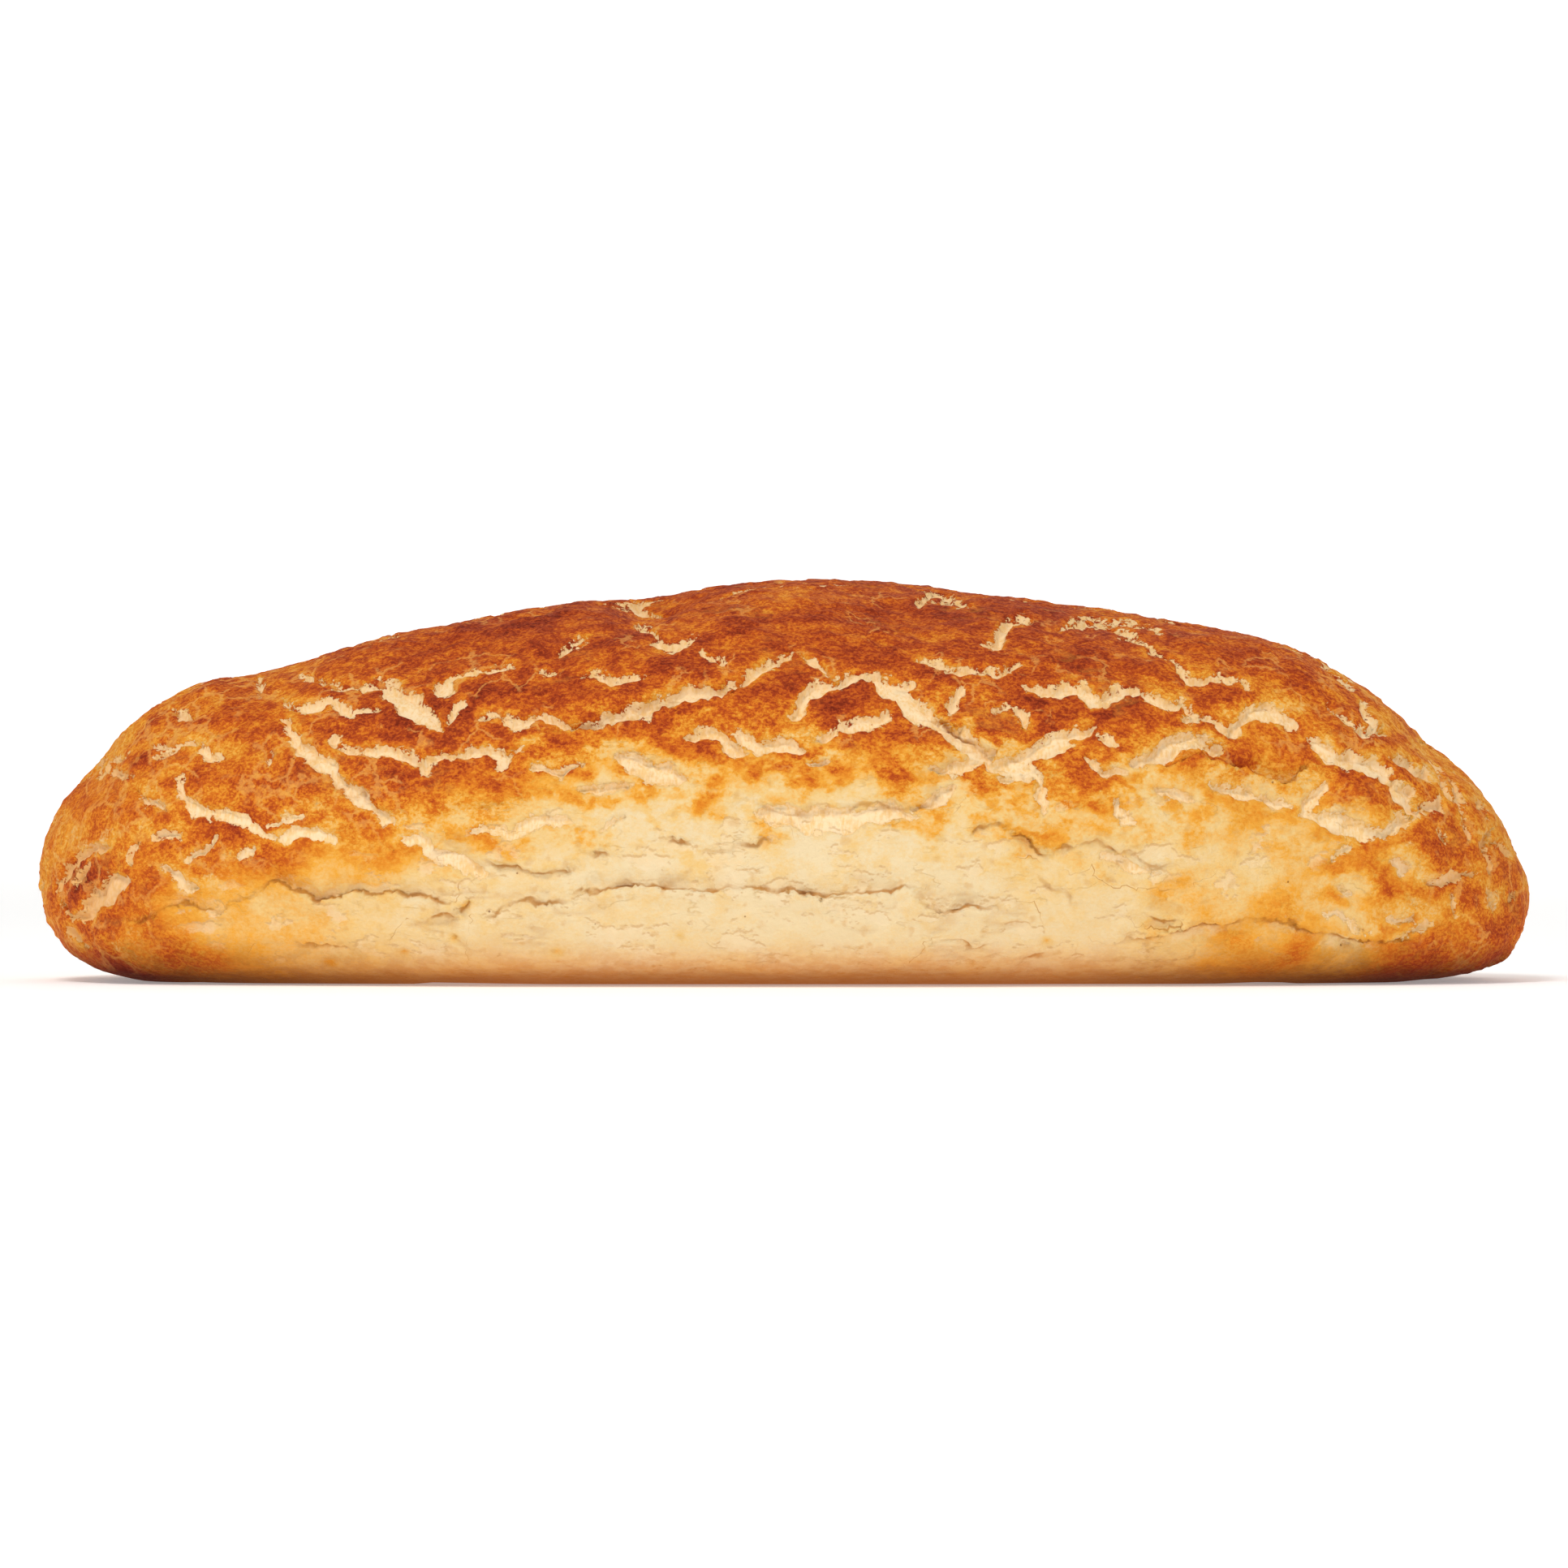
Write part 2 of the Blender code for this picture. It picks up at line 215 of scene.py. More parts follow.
# %% Camera
SENSOR_WIDTH = 36.0
camera_data = bpy.data.cameras.new("camera")
camera_data.sensor_width = SENSOR_WIDTH
camera_data.lens = SENSOR_WIDTH * EYE_DISTANCE / (PICTURE_PIXELS * PIXEL)
camera = bpy.data.objects.new("camera", camera_data)
bpy.context.scene.collection.objects.link(camera)
back_off = Vector((0.0, -math.cos(EYE_ELEVATION), math.sin(EYE_ELEVATION)))
camera.location = Vector((0.0, 0.0, EYE_HEIGHT)) + EYE_DISTANCE * back_off
camera.rotation_euler = (math.pi / 2 - EYE_ELEVATION, 0.0, 0.0)
bpy.context.scene.camera = camera
print(f"lens {camera_data.lens:.0f} mm")

# %% [markdown]
# ## A dough skin with even, small faces
# Relief needs small faces of one size, and a sphere's faces crowd at its poles. So the sphere is only
# the start: it is carried out to the dough form, and Blender's voxel remesh then gives it a skin of
# even squares about half a millimetre wide.
#
# The lists below are places that the photograph shows, as pixels: lumps and dips of the dough, steps
# in its top line, and where the crust is browner or paler than its height alone would make it.

# %% Make the dough skin
SKIN_FACE = 0.00058
ROUND_STEPS, LONG_STEPS = 300, 300

# Broad lumps and dips: pixel of the photograph, radius in mm, height in mm.
SWELLS = {
    "left_shoulder": ((215, 868), 17, 2.2),
    "behind_left_shoulder": ((345, 800), 20, -2.8),
    "crown_step": ((800, 741), 11, -3.4),
    "crown": ((1000, 718), 45, 4.0),
    "crown_valley": ((1112, 760), 14, -2.6),
    "right_step": ((1505, 782), 10, -1.6),
    "right_shoulder": ((1600, 822), 26, 2.2),
    "right_end": ((1825, 985), 14, 1.4),
    "right_nick": ((1777, 928), 9, -1.6),
    "right_cheek": ((1700, 968), 17, 1.8),
    "right_dimple": ((1585, 945), 11, -2.6),
    "brow_over_band": ((1040, 965), 30, 1.6),
    "belly": ((960, 1150), 55, 0.8),
}
# Steps in the top line, which run across the loaf: pixel, radius in mm, height in mm.
TOP_STEPS = {
    "left_slope": ((105, 955), 12, -1.2),
    "left_step": ((222, 858), 9, -0.5),
    "behind_left_step": ((322, 826), 14, -1.5),
    "left_rise": ((560, 766), 26, -1.0),
    "crown_nick": ((803, 742), 9, -1.9),
    "right_slope": ((1530, 782), 16, 0.6),
    "right_end_nick": ((1752, 902), 8, -1.2),
    "right_end_lump": ((1826, 984), 8, 0.6),
}
STEP_REACH = 0.3  # a distance across the loaf counts as this much of itself
# Places browner or paler than the rule for height makes them: pixel, radius in mm, how much browner.
TONES = {
    "under_left_shoulder": ((505, 890), 18, 0.14),
    "left_flank": ((430, 985), 17, 0.15),
    "left_waist": ((400, 1075), 15, -0.07),
    "left_hollow": ((300, 985), 9, 0.16),
    "left_brow": ((620, 815), 24, 0.06),
    "left_end": ((100, 1095), 10, 0.12),
    "left_edge": ((100, 985), 8, -0.08),
    "left_gold": ((260, 1090), 15, -0.03),
    "middle_brow": ((1010, 890), 13, 0.13),
    "middle_gold": ((990, 945), 12, -0.05),
    "right_brow": ((1320, 865), 12, 0.14),
    "right_gold": ((1300, 1020), 14, 0.15),
    "right_furrow": ((1530, 948), 9, 0.12),
    "pale_furrow": ((1445, 978), 10, -0.09),
    "pale_cheek": ((1500, 1010), 18, -0.08),
    "pale_spot": ((1600, 1022), 6, -0.10),
    "gold_cheek": ((1625, 970), 8, 0.06),
    "pale_right_foot": ((1690, 1090), 17, -0.12),
    "left_lower": ((205, 1118), 9, -0.09),
    "left_foot": ((225, 1180), 7, 0.09),
    "burnt_left_foot": ((150, 1196), 7, 0.45),
    "bare_left_foot": ((152, 1166), 4, -0.09),
    "left_gap": ((262, 1142), 6, -0.07),
    "gold_waist": ((1550, 1078), 6, -0.06),
    "browned_right_foot": ((1545, 1190), 6, 0.16),
    "browned_right_corner": ((1728, 1192), 8, 0.16),
    "right_foot": ((1660, 1185), 8, -0.10),
    "burnt_right_foot": ((1800, 1195), 8, 0.15),
    "right_tip": ((1850, 1160), 7, 0.16),
    "crown": ((985, 748), 13, -0.20),
    "brow_of_left_y": ((440, 852), 12, 0.09),
    "gold_band": ((590, 1005), 14, 0.09),
    "end_of_band": ((1135, 972), 8, 0.11),
    "under_window": ((815, 938), 8, -0.11),
    "waist_plate": ((355, 1055), 8, -0.06),
    "gold_over_foot": ((640, 1180), 12, 0.07),
    "gold_under_tear": ((410, 1140), 9, 0.08),
}
# Small plates at both ends that are browner than what is round them: pixels of their middles.
SMALL_PLATES = [
    (170, 907), (187, 925), (167, 938), (235, 956), (247, 1027), (287, 1023), (206, 1040),
    (305, 1041), (100, 1088), (82, 1110), (85, 1074), (121, 1068), (135, 1135), (101, 1142),
    (148, 1096), (183, 1086), (72, 1146), (55, 1095), (112, 1010), (1665, 912), (1702, 914),
    (1722, 948), (1748, 968), (1762, 984), (1783, 1012), (1748, 1028), (1806, 1030), (1776, 1050),
    (1803, 1062), (1806, 1100), (1812, 1108), (1778, 1078), (1852, 1066), (1866, 1088),
    (1655, 955), (1685, 965), (1715, 990), (1840, 1140), (190, 1140), (178, 1122), (219, 1160),
    (206, 1176), (238, 1184), (264, 1178), (146, 1184), (245, 1074), (322, 1060), (354, 1064),
    (1694, 1078), (1712, 1100), (1745, 1112), (1770, 1165), (1700, 1130), (1652, 1072),
    (1640, 1110), (1593, 1115), (1557, 1118), (1465, 1026), (1521, 1032), (1452, 1084),
    (1482, 1124), (1508, 1152), (1531, 1157), (1603, 1164), (1681, 1042), (1491, 1186),
    (1590, 1180), (1430, 1100), (1420, 1150),
]
SMALL_PLATE_RADIUS = 0.0034
SMALL_PLATE_TONE = 0.15
# Pits where a bubble under the bare skin has burst.
PITS = [
    (556, 1154), (493, 1174), (401, 1188), (683, 1168), (571, 1113), (1074, 1105), (1290, 1160),
    (836, 1150),
]
# Places where the outermost skin has peeled, which leaves it paler: pixels of their middles.
PEELED = [
    (700, 1117), (719, 1124), (752, 1149), (919, 1133), (905, 1049), (946, 1044), (793, 1172),
    (863, 1184), (1008, 1147), (868, 1088), (903, 1088), (960, 1090), (1097, 1165), (1157, 1165),
    (1050, 1067), (1190, 1049), (268, 1157), (409, 1153), (340, 1136), (620, 1150), (1542, 1048),
    (1517, 1112), (1490, 1062), (1626, 1068), (1660, 1099), (1250, 1150), (1330, 1140),
    (1410, 1112), (560, 1100), (1375, 1075),
]
PEEL_RADIUS = 0.0036
PIT_RADIUS = 0.0013
PIT_DEPTH = 0.0008
PIT_TONE = 0.25
LUMP_SEED = 4
LUMP_HEIGHT = 0.0009
LUMP_LENGTH = 0.055
FLAT_FOOT = 0.008


def waves(points, wavelength, seed, count=14):
    """A smooth random field between about -1 and 1: plane waves in seeded directions."""
    chance = np.random.default_rng(seed)
    ways = chance.normal(size=(count, 3))
    ways /= np.linalg.norm(ways, axis=1)[:, None]
    lengths = wavelength * chance.uniform(0.7, 1.5, count)
    phases = chance.uniform(0.0, 2.0 * math.pi, count)
    turns = points @ (ways * (2.0 * math.pi / lengths)[:, None]).T + phases
    return np.sin(turns).sum(axis=1) / math.sqrt(2.0 * count)


def bell(points, pixel, radius, reach=1.0):
    """1 at that pixel's place on the loaf's front, fading to 0 round it as a bell curve does."""
    away = np.linalg.norm((points - on_front(pixel)) * (1.0, reach, 1.0), axis=1)
    return np.exp(-((away / radius) ** 2))


def swell_height(points):
    """The broad lumps and dips of the dough, by which each point moves along its normal."""
    rise = LUMP_HEIGHT * waves(points, LUMP_LENGTH, LUMP_SEED)
    for places, reach in ((SWELLS, 1.0), (TOP_STEPS, STEP_REACH)):
        for pixel, radius, height in places.values():
            rise += MILLIMETRE * height * bell(points, pixel, MILLIMETRE * radius, reach)
    return rise * smooth_step(points[:, 2], 0.0, FLAT_FOOT)


def spots(points, pixels, radius):
    """1 in the middle of each of those places, fading to 0 over that radius."""
    return sum(bell(points, pixel, radius) for pixel in pixels)


def keep(skin, name, numbers):
    """Keeps a number for each point of the skin as an attribute, which the material can read."""
    skin.data.attributes.new(name, "FLOAT", "POINT").data.foreach_set("value", numbers)


def read(items, name, width=3):
    """One number or vector of every item, such as each vertex's place, as a table."""
    found = np.empty(width * len(items))
    items.foreach_get(name, found)
    return found.reshape(-1, width)


def applied(piece):
    """The piece with its modifiers baked in, as a plain mesh."""
    graph = bpy.context.evaluated_depsgraph_get()
    made = bpy.data.meshes.new_from_object(piece.evaluated_get(graph))
    piece.modifiers.clear()
    piece.data = made
    return piece


def make_skin():
    shape = bmesh.new()
    bmesh.ops.create_uvsphere(shape, u_segments=ROUND_STEPS, v_segments=LONG_STEPS, radius=1.0)
    bmesh.ops.rotate(shape, verts=shape.verts, matrix=Matrix.Rotation(math.pi / 2, 3, "Y"))
    mesh = bpy.data.meshes.new("crust")
    shape.to_mesh(mesh)
    shape.free()
    plain = dough_surface(read(mesh.vertices, "co"))
    mesh.vertices.foreach_set("co", plain.ravel())
    mesh.update()
    normals = read(mesh.vertex_normals, "vector")
    risen = plain + normals * swell_height(plain)[:, None]
    mesh.vertices.foreach_set("co", risen.ravel())
    mesh.update()
    skin = bpy.data.objects.new("crust", mesh)
    bpy.context.scene.collection.objects.link(skin)
    even = skin.modifiers.new("even_faces", "REMESH")
    even.mode = "VOXEL"
    even.voxel_size = SKIN_FACE
    return applied(skin)


def tone_skin(skin):
    """Keeps how much browner and how peeled each point is, and sinks the pits."""
    points = read(skin.data.vertices, "co")
    browner = np.zeros(len(points))
    for pixel, radius, amount in TONES.values():
        browner += amount * bell(points, pixel, MILLIMETRE * radius)
    browner += SMALL_PLATE_TONE * spots(points, SMALL_PLATES, SMALL_PLATE_RADIUS)
    pits = spots(points, PITS, PIT_RADIUS)
    keep(skin, "tone", browner + PIT_TONE * pits)
    keep(skin, "peeled", np.minimum(spots(points, PEELED, PEEL_RADIUS), 1.0))
    points -= PIT_DEPTH * pits[:, None] * read(skin.data.vertex_normals, "vector")
    skin.data.vertices.foreach_set("co", points.ravel())


crust = make_skin()
tone_skin(crust)
print(f"the skin has {len(crust.data.polygons)} faces")

# %% [markdown]
# ## Where the crust has opened
# Each crack is a few points read off the photograph, and a smooth line through them, laid on the
# loaf's front. The lines become meshes of edges only, each point of which carries the crack's half
# width there, so that Geometry Nodes can ask how far any place is from the nearest crack.

# %% Cracks that show pale crumb
# Width in mm at each line's widest, then pixels of the photograph along its middle.
CRACKS = [
    (2.7, [(212, 956), (221, 981), (242, 999), (275, 1004), (300, 1012), (318, 1025), (336, 1032)]),
    (1.1, [(318, 1017), (349, 1007), (374, 1004)]),
    (2.6, [(336, 1032), (372, 1027), (400, 1031), (413, 1040)]),
    (3.0, [(345, 883), (358, 909), (381, 929), (401, 944), (413, 965), (432, 977), (459, 998),
           (482, 1014)]),
    (2.2, [(412, 899), (409, 921)]),
    (1.0, [(314, 834), (313, 857)]),
    (1.3, [(209, 874), (234, 886)]),
    (1.2, [(239, 910), (247, 925), (272, 932)]),
    (1.0, [(328, 920), (326, 943)]),
    (1.3, [(180, 1029), (209, 1026), (219, 1034)]),
    (2.4, [(412, 921), (445, 921), (483, 924), (509, 937), (519, 944), (531, 929), (560, 929)]),
    (2.2, [(560, 929), (585, 921), (608, 924), (618, 939), (628, 927), (644, 919)]),
    (4.4, [(445, 840), (473, 847), (493, 858), (514, 873), (531, 888), (539, 901)]),
    (3.4, [(552, 830), (531, 858)]),
    (1.2, [(549, 832), (575, 827), (605, 819), (636, 817)]),
    (1.1, [(570, 863), (554, 873), (547, 893)]),
    (1.0, [(363, 827), (391, 837), (432, 842), (463, 845)]),
    (1.8, [(343, 860), (363, 870), (389, 865), (407, 863), (419, 873), (445, 873), (468, 868)]),
    (1.8, [(585, 883), (603, 878), (623, 883), (636, 888), (662, 881), (687, 886), (709, 894)]),
    (3.9, [(700, 892), (732, 888), (763, 880), (788, 875), (814, 863), (839, 855), (865, 851),
           (895, 842)]),
    (1.6, [(890, 840), (906, 838), (923, 828), (941, 817), (962, 807), (977, 799)]),
    (1.5, [(651, 942), (667, 944), (685, 952), (702, 942), (718, 937)]),
    (1.1, [(684, 805), (704, 792), (727, 779)]),
    (1.4, [(712, 830), (732, 825), (755, 838), (775, 830), (796, 828)]),
    (1.4, [(781, 768), (801, 774), (809, 787), (826, 794), (842, 787), (860, 782)]),
    (1.2, [(862, 799), (885, 810), (888, 820)]),
    (2.8, [(1073, 833), (1052, 830), (1032, 838), (1007, 848), (986, 858), (981, 873), (968, 884)]),
    (4.4, [(756, 932), (790, 945), (815, 952), (845, 958)]),
    (2.4, [(842, 908), (880, 902), (900, 918), (918, 928)]),
    (2.8, [(905, 897), (935, 918), (960, 915), (995, 922)]),
    (1.1, [(986, 802), (999, 812), (1014, 822), (1032, 830)]),
    (4.2, [(1068, 826), (1093, 843), (1109, 853), (1129, 873), (1149, 884), (1175, 899)]),
    (4.8, [(1160, 890), (1200, 917), (1218, 937), (1236, 945), (1262, 947), (1284, 955)]),
    (1.9, [(1083, 835), (1109, 838), (1129, 840)]),
    (2.6, [(1032, 896), (1050, 889), (1073, 889), (1091, 879), (1098, 871)]),
    (1.2, [(1007, 909), (1032, 900)]),
    (1.4, [(996, 937), (1024, 937)]),
    (1.8, [(1170, 876), (1177, 858), (1188, 840)]),
    (1.7, [(1213, 792), (1231, 789), (1234, 774), (1246, 761), (1274, 761)]),
    (1.3, [(1129, 810), (1160, 815), (1172, 822), (1211, 822), (1231, 828), (1249, 820),
           (1257, 812)]),
    (2.6, [(1147, 945), (1172, 945), (1200, 937), (1218, 937)]),
    (3.6, [(1226, 941), (1255, 934), (1281, 924), (1306, 911), (1332, 899), (1352, 895)]),
    (1.5, [(1231, 958), (1274, 958)]),
    (1.6, [(1281, 950), (1286, 980), (1289, 1005)]),
    (1.8, [(1131, 741), (1154, 728), (1175, 738), (1200, 741)]),
    (1.0, [(1223, 876), (1249, 868)]),
    (2.8, [(1263, 842), (1294, 848), (1319, 845), (1340, 853), (1363, 863), (1378, 850),
           (1409, 850)]),
    (2.0, [(1409, 850), (1434, 865), (1449, 865), (1460, 855)]),
    (1.6, [(1460, 883), (1490, 883), (1506, 893), (1518, 904)]),
    (3.2, [(1518, 904), (1534, 883), (1559, 873), (1585, 883), (1604, 897)]),
    (3.2, [(1393, 937), (1429, 932), (1447, 919), (1470, 909), (1493, 914), (1511, 924)]),
    (1.0, [(1352, 901), (1365, 911), (1380, 919)]),
    (1.5, [(1340, 927), (1358, 947), (1373, 950), (1396, 947)]),
    (1.3, [(1447, 812), (1460, 827), (1477, 835), (1500, 830), (1523, 835), (1544, 845)]),
    (1.0, [(1304, 774), (1332, 766), (1363, 768), (1409, 789), (1447, 814)]),
    (1.0, [(1317, 761), (1350, 758), (1398, 768), (1434, 776)]),
    (1.9, [(1495, 965), (1523, 973), (1554, 979), (1579, 988), (1597, 993)]),
    (3.6, [(1614, 908), (1632, 918), (1652, 930), (1683, 936), (1709, 948), (1716, 964)]),
    (3.8, [(1709, 950), (1720, 968), (1737, 984), (1747, 1004)]),
    (2.0, [(1673, 900), (1698, 897), (1714, 900)]),
    (1.1, [(1668, 892), (1647, 874), (1637, 864)]),
    (2.2, [(1678, 862), (1688, 882), (1698, 892)]),
    (3.6, [(1602, 1003), (1623, 1006), (1643, 1014), (1669, 1019), (1694, 1026), (1712, 1026)]),
    (3.0, [(1705, 1030), (1725, 1014), (1743, 1006)]),
    (1.8, [(1605, 1008), (1612, 993), (1628, 975), (1643, 963)]),
    (1.2, [(1790, 956), (1800, 979), (1808, 1010)]),
    (1.0, [(1755, 946), (1772, 965)]),
    (1.5, [(1842, 1021), (1832, 1037), (1839, 1052), (1842, 1077)]),
    (1.0, [(1775, 1020), (1788, 1040)]),
    (1.2, [(1641, 1059), (1656, 1049), (1669, 1042)]),
    (2.2, [(1722, 1061), (1733, 1068), (1726, 1079)]),
    (1.5, [(1760, 1088), (1783, 1085), (1801, 1077), (1824, 1077)]),
    (1.0, [(1834, 1093), (1842, 1113), (1850, 1121)]),
    (1.4, [(1630, 1126), (1656, 1128), (1669, 1139), (1692, 1149)]),
    (1.2, [(1712, 1133), (1735, 1136), (1748, 1126)]),
    (3.0, [(487, 1034), (517, 1034), (530, 1052), (553, 1057), (579, 1070), (599, 1075)]),
    (2.2, [(576, 1021), (612, 1021), (624, 1029), (645, 1014), (663, 1008), (681, 1011),
           (706, 1011)]),
    (4.8, [(930, 998), (974, 1005), (1000, 1008), (1050, 1006), (1101, 1001), (1127, 1007)]),
    (2.4, [(1126, 994), (1148, 985), (1177, 966)]),
    (2.4, [(1355, 1056), (1381, 1056), (1401, 1070), (1432, 1072)]),
    (2.2, [(63, 1100), (70, 1078), (84, 1060), (104, 1046), (128, 1040)]),
    (4.6, [(102, 1124), (117, 1106), (130, 1088), (156, 1082)]),
    (1.0, [(86, 1094), (94, 1077), (106, 1061)]),
    (1.6, [(66, 1112), (78, 1126), (96, 1130), (114, 1121)]),
    (0.9, [(72, 1141), (88, 1156), (104, 1168)]),
    (1.0, [(112, 955), (126, 943), (140, 932), (155, 926)]),
    (1.2, [(128, 948), (142, 951), (158, 958)]),
    (1.2, [(180, 918), (205, 917), (225, 913), (238, 914)]),
    (1.0, [(184, 933), (200, 925), (221, 918)]),
    (1.0, [(160, 972), (172, 984), (188, 991), (199, 1001)]),
    (0.9, [(162, 1038), (156, 1052), (155, 1068)]),
    (1.7, [(288, 1057), (300, 1050), (312, 1043)]),
    (1.6, [(193, 1067), (209, 1077), (219, 1090), (239, 1098)]),
    (1.1, [(265, 1026), (239, 1052), (219, 1065)]),
    (1.5, [(1716, 931), (1735, 936), (1750, 947), (1762, 961)]),
    (1.0, [(1768, 936), (1780, 955), (1786, 972), (1797, 986)]),
    (1.6, [(1750, 991), (1766, 996), (1780, 990), (1774, 977)]),
    (0.8, [(1808, 1008), (1812, 1024), (1817, 1037)]),
    (0.9, [(1840, 1037), (1852, 1040), (1860, 1048), (1867, 1061)]),
    (1.4, [(1650, 1094), (1662, 1100), (1674, 1102)]),
    (1.3, [(1726, 1158), (1740, 1149), (1756, 1143), (1769, 1137)]),
    (0.8, [(1795, 1097), (1793, 1114), (1798, 1131)]),
    (0.9, [(1864, 1106), (1872, 1095)]),
    (0.9, [(1822, 983), (1831, 996), (1838, 1011)]),
    (0.9, [(1626, 817), (1652, 834), (1668, 846)]),
    (1.0, [(1655, 1165), (1668, 1169)]),
    (0.8, [(662, 827), (682, 819)]),
    (1.6, [(711, 968), (735, 972), (758, 968), (776, 965)]),
    (1.0, [(736, 1024), (752, 1010), (772, 1001)]),
    (1.6, [(1252, 872), (1264, 886), (1268, 899)]),
    (0.9, [(1456, 862), (1470, 876), (1482, 886)]),
    (1.5, [(1376, 986), (1384, 1002), (1400, 1014)]),
    (2.0, [(1424, 971), (1450, 976), (1474, 985)]),
]
LINE_POINT = 0.0005
SHARPEST_END = 0.18


def line_on_front(pixels):
    """Close points along a smooth line through those pixels, laid on the dough's front."""
    ends = [2 * np.array(pixels[0]) - pixels[1], 2 * np.array(pixels[-1]) - pixels[-2]]
    knots = np.array([ends[0], *pixels, ends[1]], float)
    places = []
    for a, b, c, d in zip(knots, knots[1:], knots[2:], knots[3:]):
        pieces = max(2, math.ceil(np.linalg.norm(c - b) * PIXEL / LINE_POINT))
        t = np.linspace(0.0, 1.0, pieces, endpoint=False)[:, None]
        bend = (2 * a - 5 * b + 4 * c - d) * t**2 + (3 * b - a - 3 * c + d) * t**3
        places.append(b + 0.5 * ((c - a) * t + bend))
    return on_front(np.concatenate(places))


def lines_object(name, lines, numbers):
    """A flat mesh of edges only. numbers gives each named attribute one table for every line."""
    lines = [line * (1.0, 0.0, 1.0) for line in lines]
    counts = [len(line) for line in lines]
    firsts = np.cumsum([0, *counts[:-1]])
    edges = [(i, i + 1) for first, n in zip(firsts, counts) for i in range(first, first + n - 1)]
    mesh = bpy.data.meshes.new(name)
    mesh.from_pydata(np.concatenate(lines).tolist(), edges, [])
    for attribute, tables in numbers.items():
        layer = mesh.attributes.new(attribute, "FLOAT", "POINT")
        layer.data.foreach_set("value", np.concatenate(tables))
    return bpy.data.objects.new(name, mesh)


crack_lines = [line_on_front(pixels) for _, pixels in CRACKS]
crack_halves = [
    0.5 * MILLIMETRE * width * (SHARPEST_END + (1 - SHARPEST_END) * np.sin(math.pi * t) ** 0.5)
    for (width, _), t in zip(CRACKS, [np.linspace(0, 1, len(line)) for line in crack_lines])
]
cracks = lines_object("crack_lines", crack_lines, {"half_width": crack_halves})
print(f"{len(CRACKS)} cracks, {sum(len(line) for line in crack_lines)} points")

# %% [markdown]
# Lower down there is no paste, and the bare dough has torn along its side. Such a tear is a slit, and
# the dough above it hangs over as a lip, which gives the fine dark line in the photograph.

# %% Tears in the bare side
# Depth in mm, lip in mm, then pixels of the photograph along the slit.
TEARS = [
    (1.3, -0.9, [(166, 1131), (190, 1126), (216, 1113), (240, 1118), (265, 1122), (283, 1111),
                 (305, 1104), (318, 1094)]),
    (1.6, -1.0, [(296, 1107), (316, 1095), (334, 1088), (350, 1095), (370, 1103), (392, 1107),
                 (433, 1100), (470, 1102)]),
    (1.3, -0.5, [(440, 1100), (477, 1102), (520, 1106), (552, 1112)]),
    (0.9, 0.3, [(522, 1133), (543, 1128), (556, 1123)]),
    (0.9, 0.3, [(558, 1116), (576, 1113)]),
    (0.9, -0.4, [(594, 1127), (609, 1123), (617, 1113), (645, 1110), (665, 1114), (681, 1110),
                 (719, 1099)]),
    (1.8, -1.0, [(705, 1102), (744, 1096), (783, 1090), (818, 1096), (869, 1100), (913, 1095)]),
    (1.9, -1.1, [(900, 1096), (964, 1096), (1000, 1103), (1058, 1099), (1076, 1102),
                 (1091, 1096), (1127, 1091)]),
    (1.6, -0.9, [(1122, 1100), (1141, 1113), (1151, 1121), (1171, 1126), (1194, 1119),
                 (1220, 1121), (1248, 1108)]),
    (0.5, 0.3, [(918, 986), (954, 994), (982, 996), (1025, 996), (1071, 989), (1112, 990),
                (1142, 988), (1160, 978)]),
    (0.9, 0.6, [(591, 1056), (612, 1068), (619, 1065), (645, 1070), (665, 1070), (698, 1071),
                (701, 1062)]),
    (0.8, 0.4, [(709, 1052), (729, 1051), (750, 1054)]),
    (1.1, 0.7, [(1248, 1028), (1263, 1026), (1273, 1039), (1284, 1048), (1299, 1049)]),
    (0.9, 0.4, [(1299, 1042), (1317, 1039), (1324, 1047)]),
    (1.0, 0.6, [(1327, 1042), (1345, 1035), (1363, 1039), (1378, 1047), (1398, 1049),
                (1409, 1059), (1439, 1066)]),
    (1.5, -1.3, [(1442, 942), (1467, 934), (1500, 938), (1536, 947), (1562, 960), (1582, 966),
                 (1602, 955), (1618, 932)]),
    (1.1, 0.5, [(1376, 1159), (1411, 1154), (1442, 1149), (1470, 1140), (1500, 1139),
                (1528, 1133), (1559, 1130)]),
    (1.1, 0.5, [(1559, 1130), (1605, 1141), (1630, 1150), (1669, 1156), (1720, 1159),
                (1748, 1151), (1765, 1141)]),
    (0.8, 0.3, [(1414, 1126), (1429, 1131), (1452, 1131)]),
    (0.8, 0.3, [(1182, 1154), (1192, 1164), (1220, 1163)]),
    (0.7, 0.2, [(1253, 1179), (1289, 1174)]),
    (0.7, 0.2, [(359, 1161), (392, 1165), (428, 1164)]),
    (0.7, 0.3, [(867, 1047), (898, 1043), (908, 1036), (928, 1040), (936, 1034), (954, 1036)]),
    (0.7, 0.3, [(824, 1031), (836, 1035), (847, 1033)]),
    (0.8, 0.3, [(1148, 1027), (1157, 1033), (1171, 1032)]),
    (0.8, 0.4, [(1198, 1031), (1202, 1017), (1215, 1014), (1238, 1015), (1243, 1021)]),
    (0.7, 0.3, [(1276, 1070), (1294, 1088), (1314, 1098), (1319, 1113), (1335, 1113)]),
    (0.7, 0.3, [(576, 993), (617, 983)]),
    (1.4, -1.1, [(676, 899), (704, 896), (732, 894), (760, 888), (780, 885), (804, 875),
                 (832, 869), (860, 864), (896, 854), (912, 844)]),
    (0.9, 0.6, [(1152, 878), (1180, 893), (1206, 912), (1222, 929)]),
    (0.9, 0.7, [(436, 970), (452, 984), (470, 999)]),
]


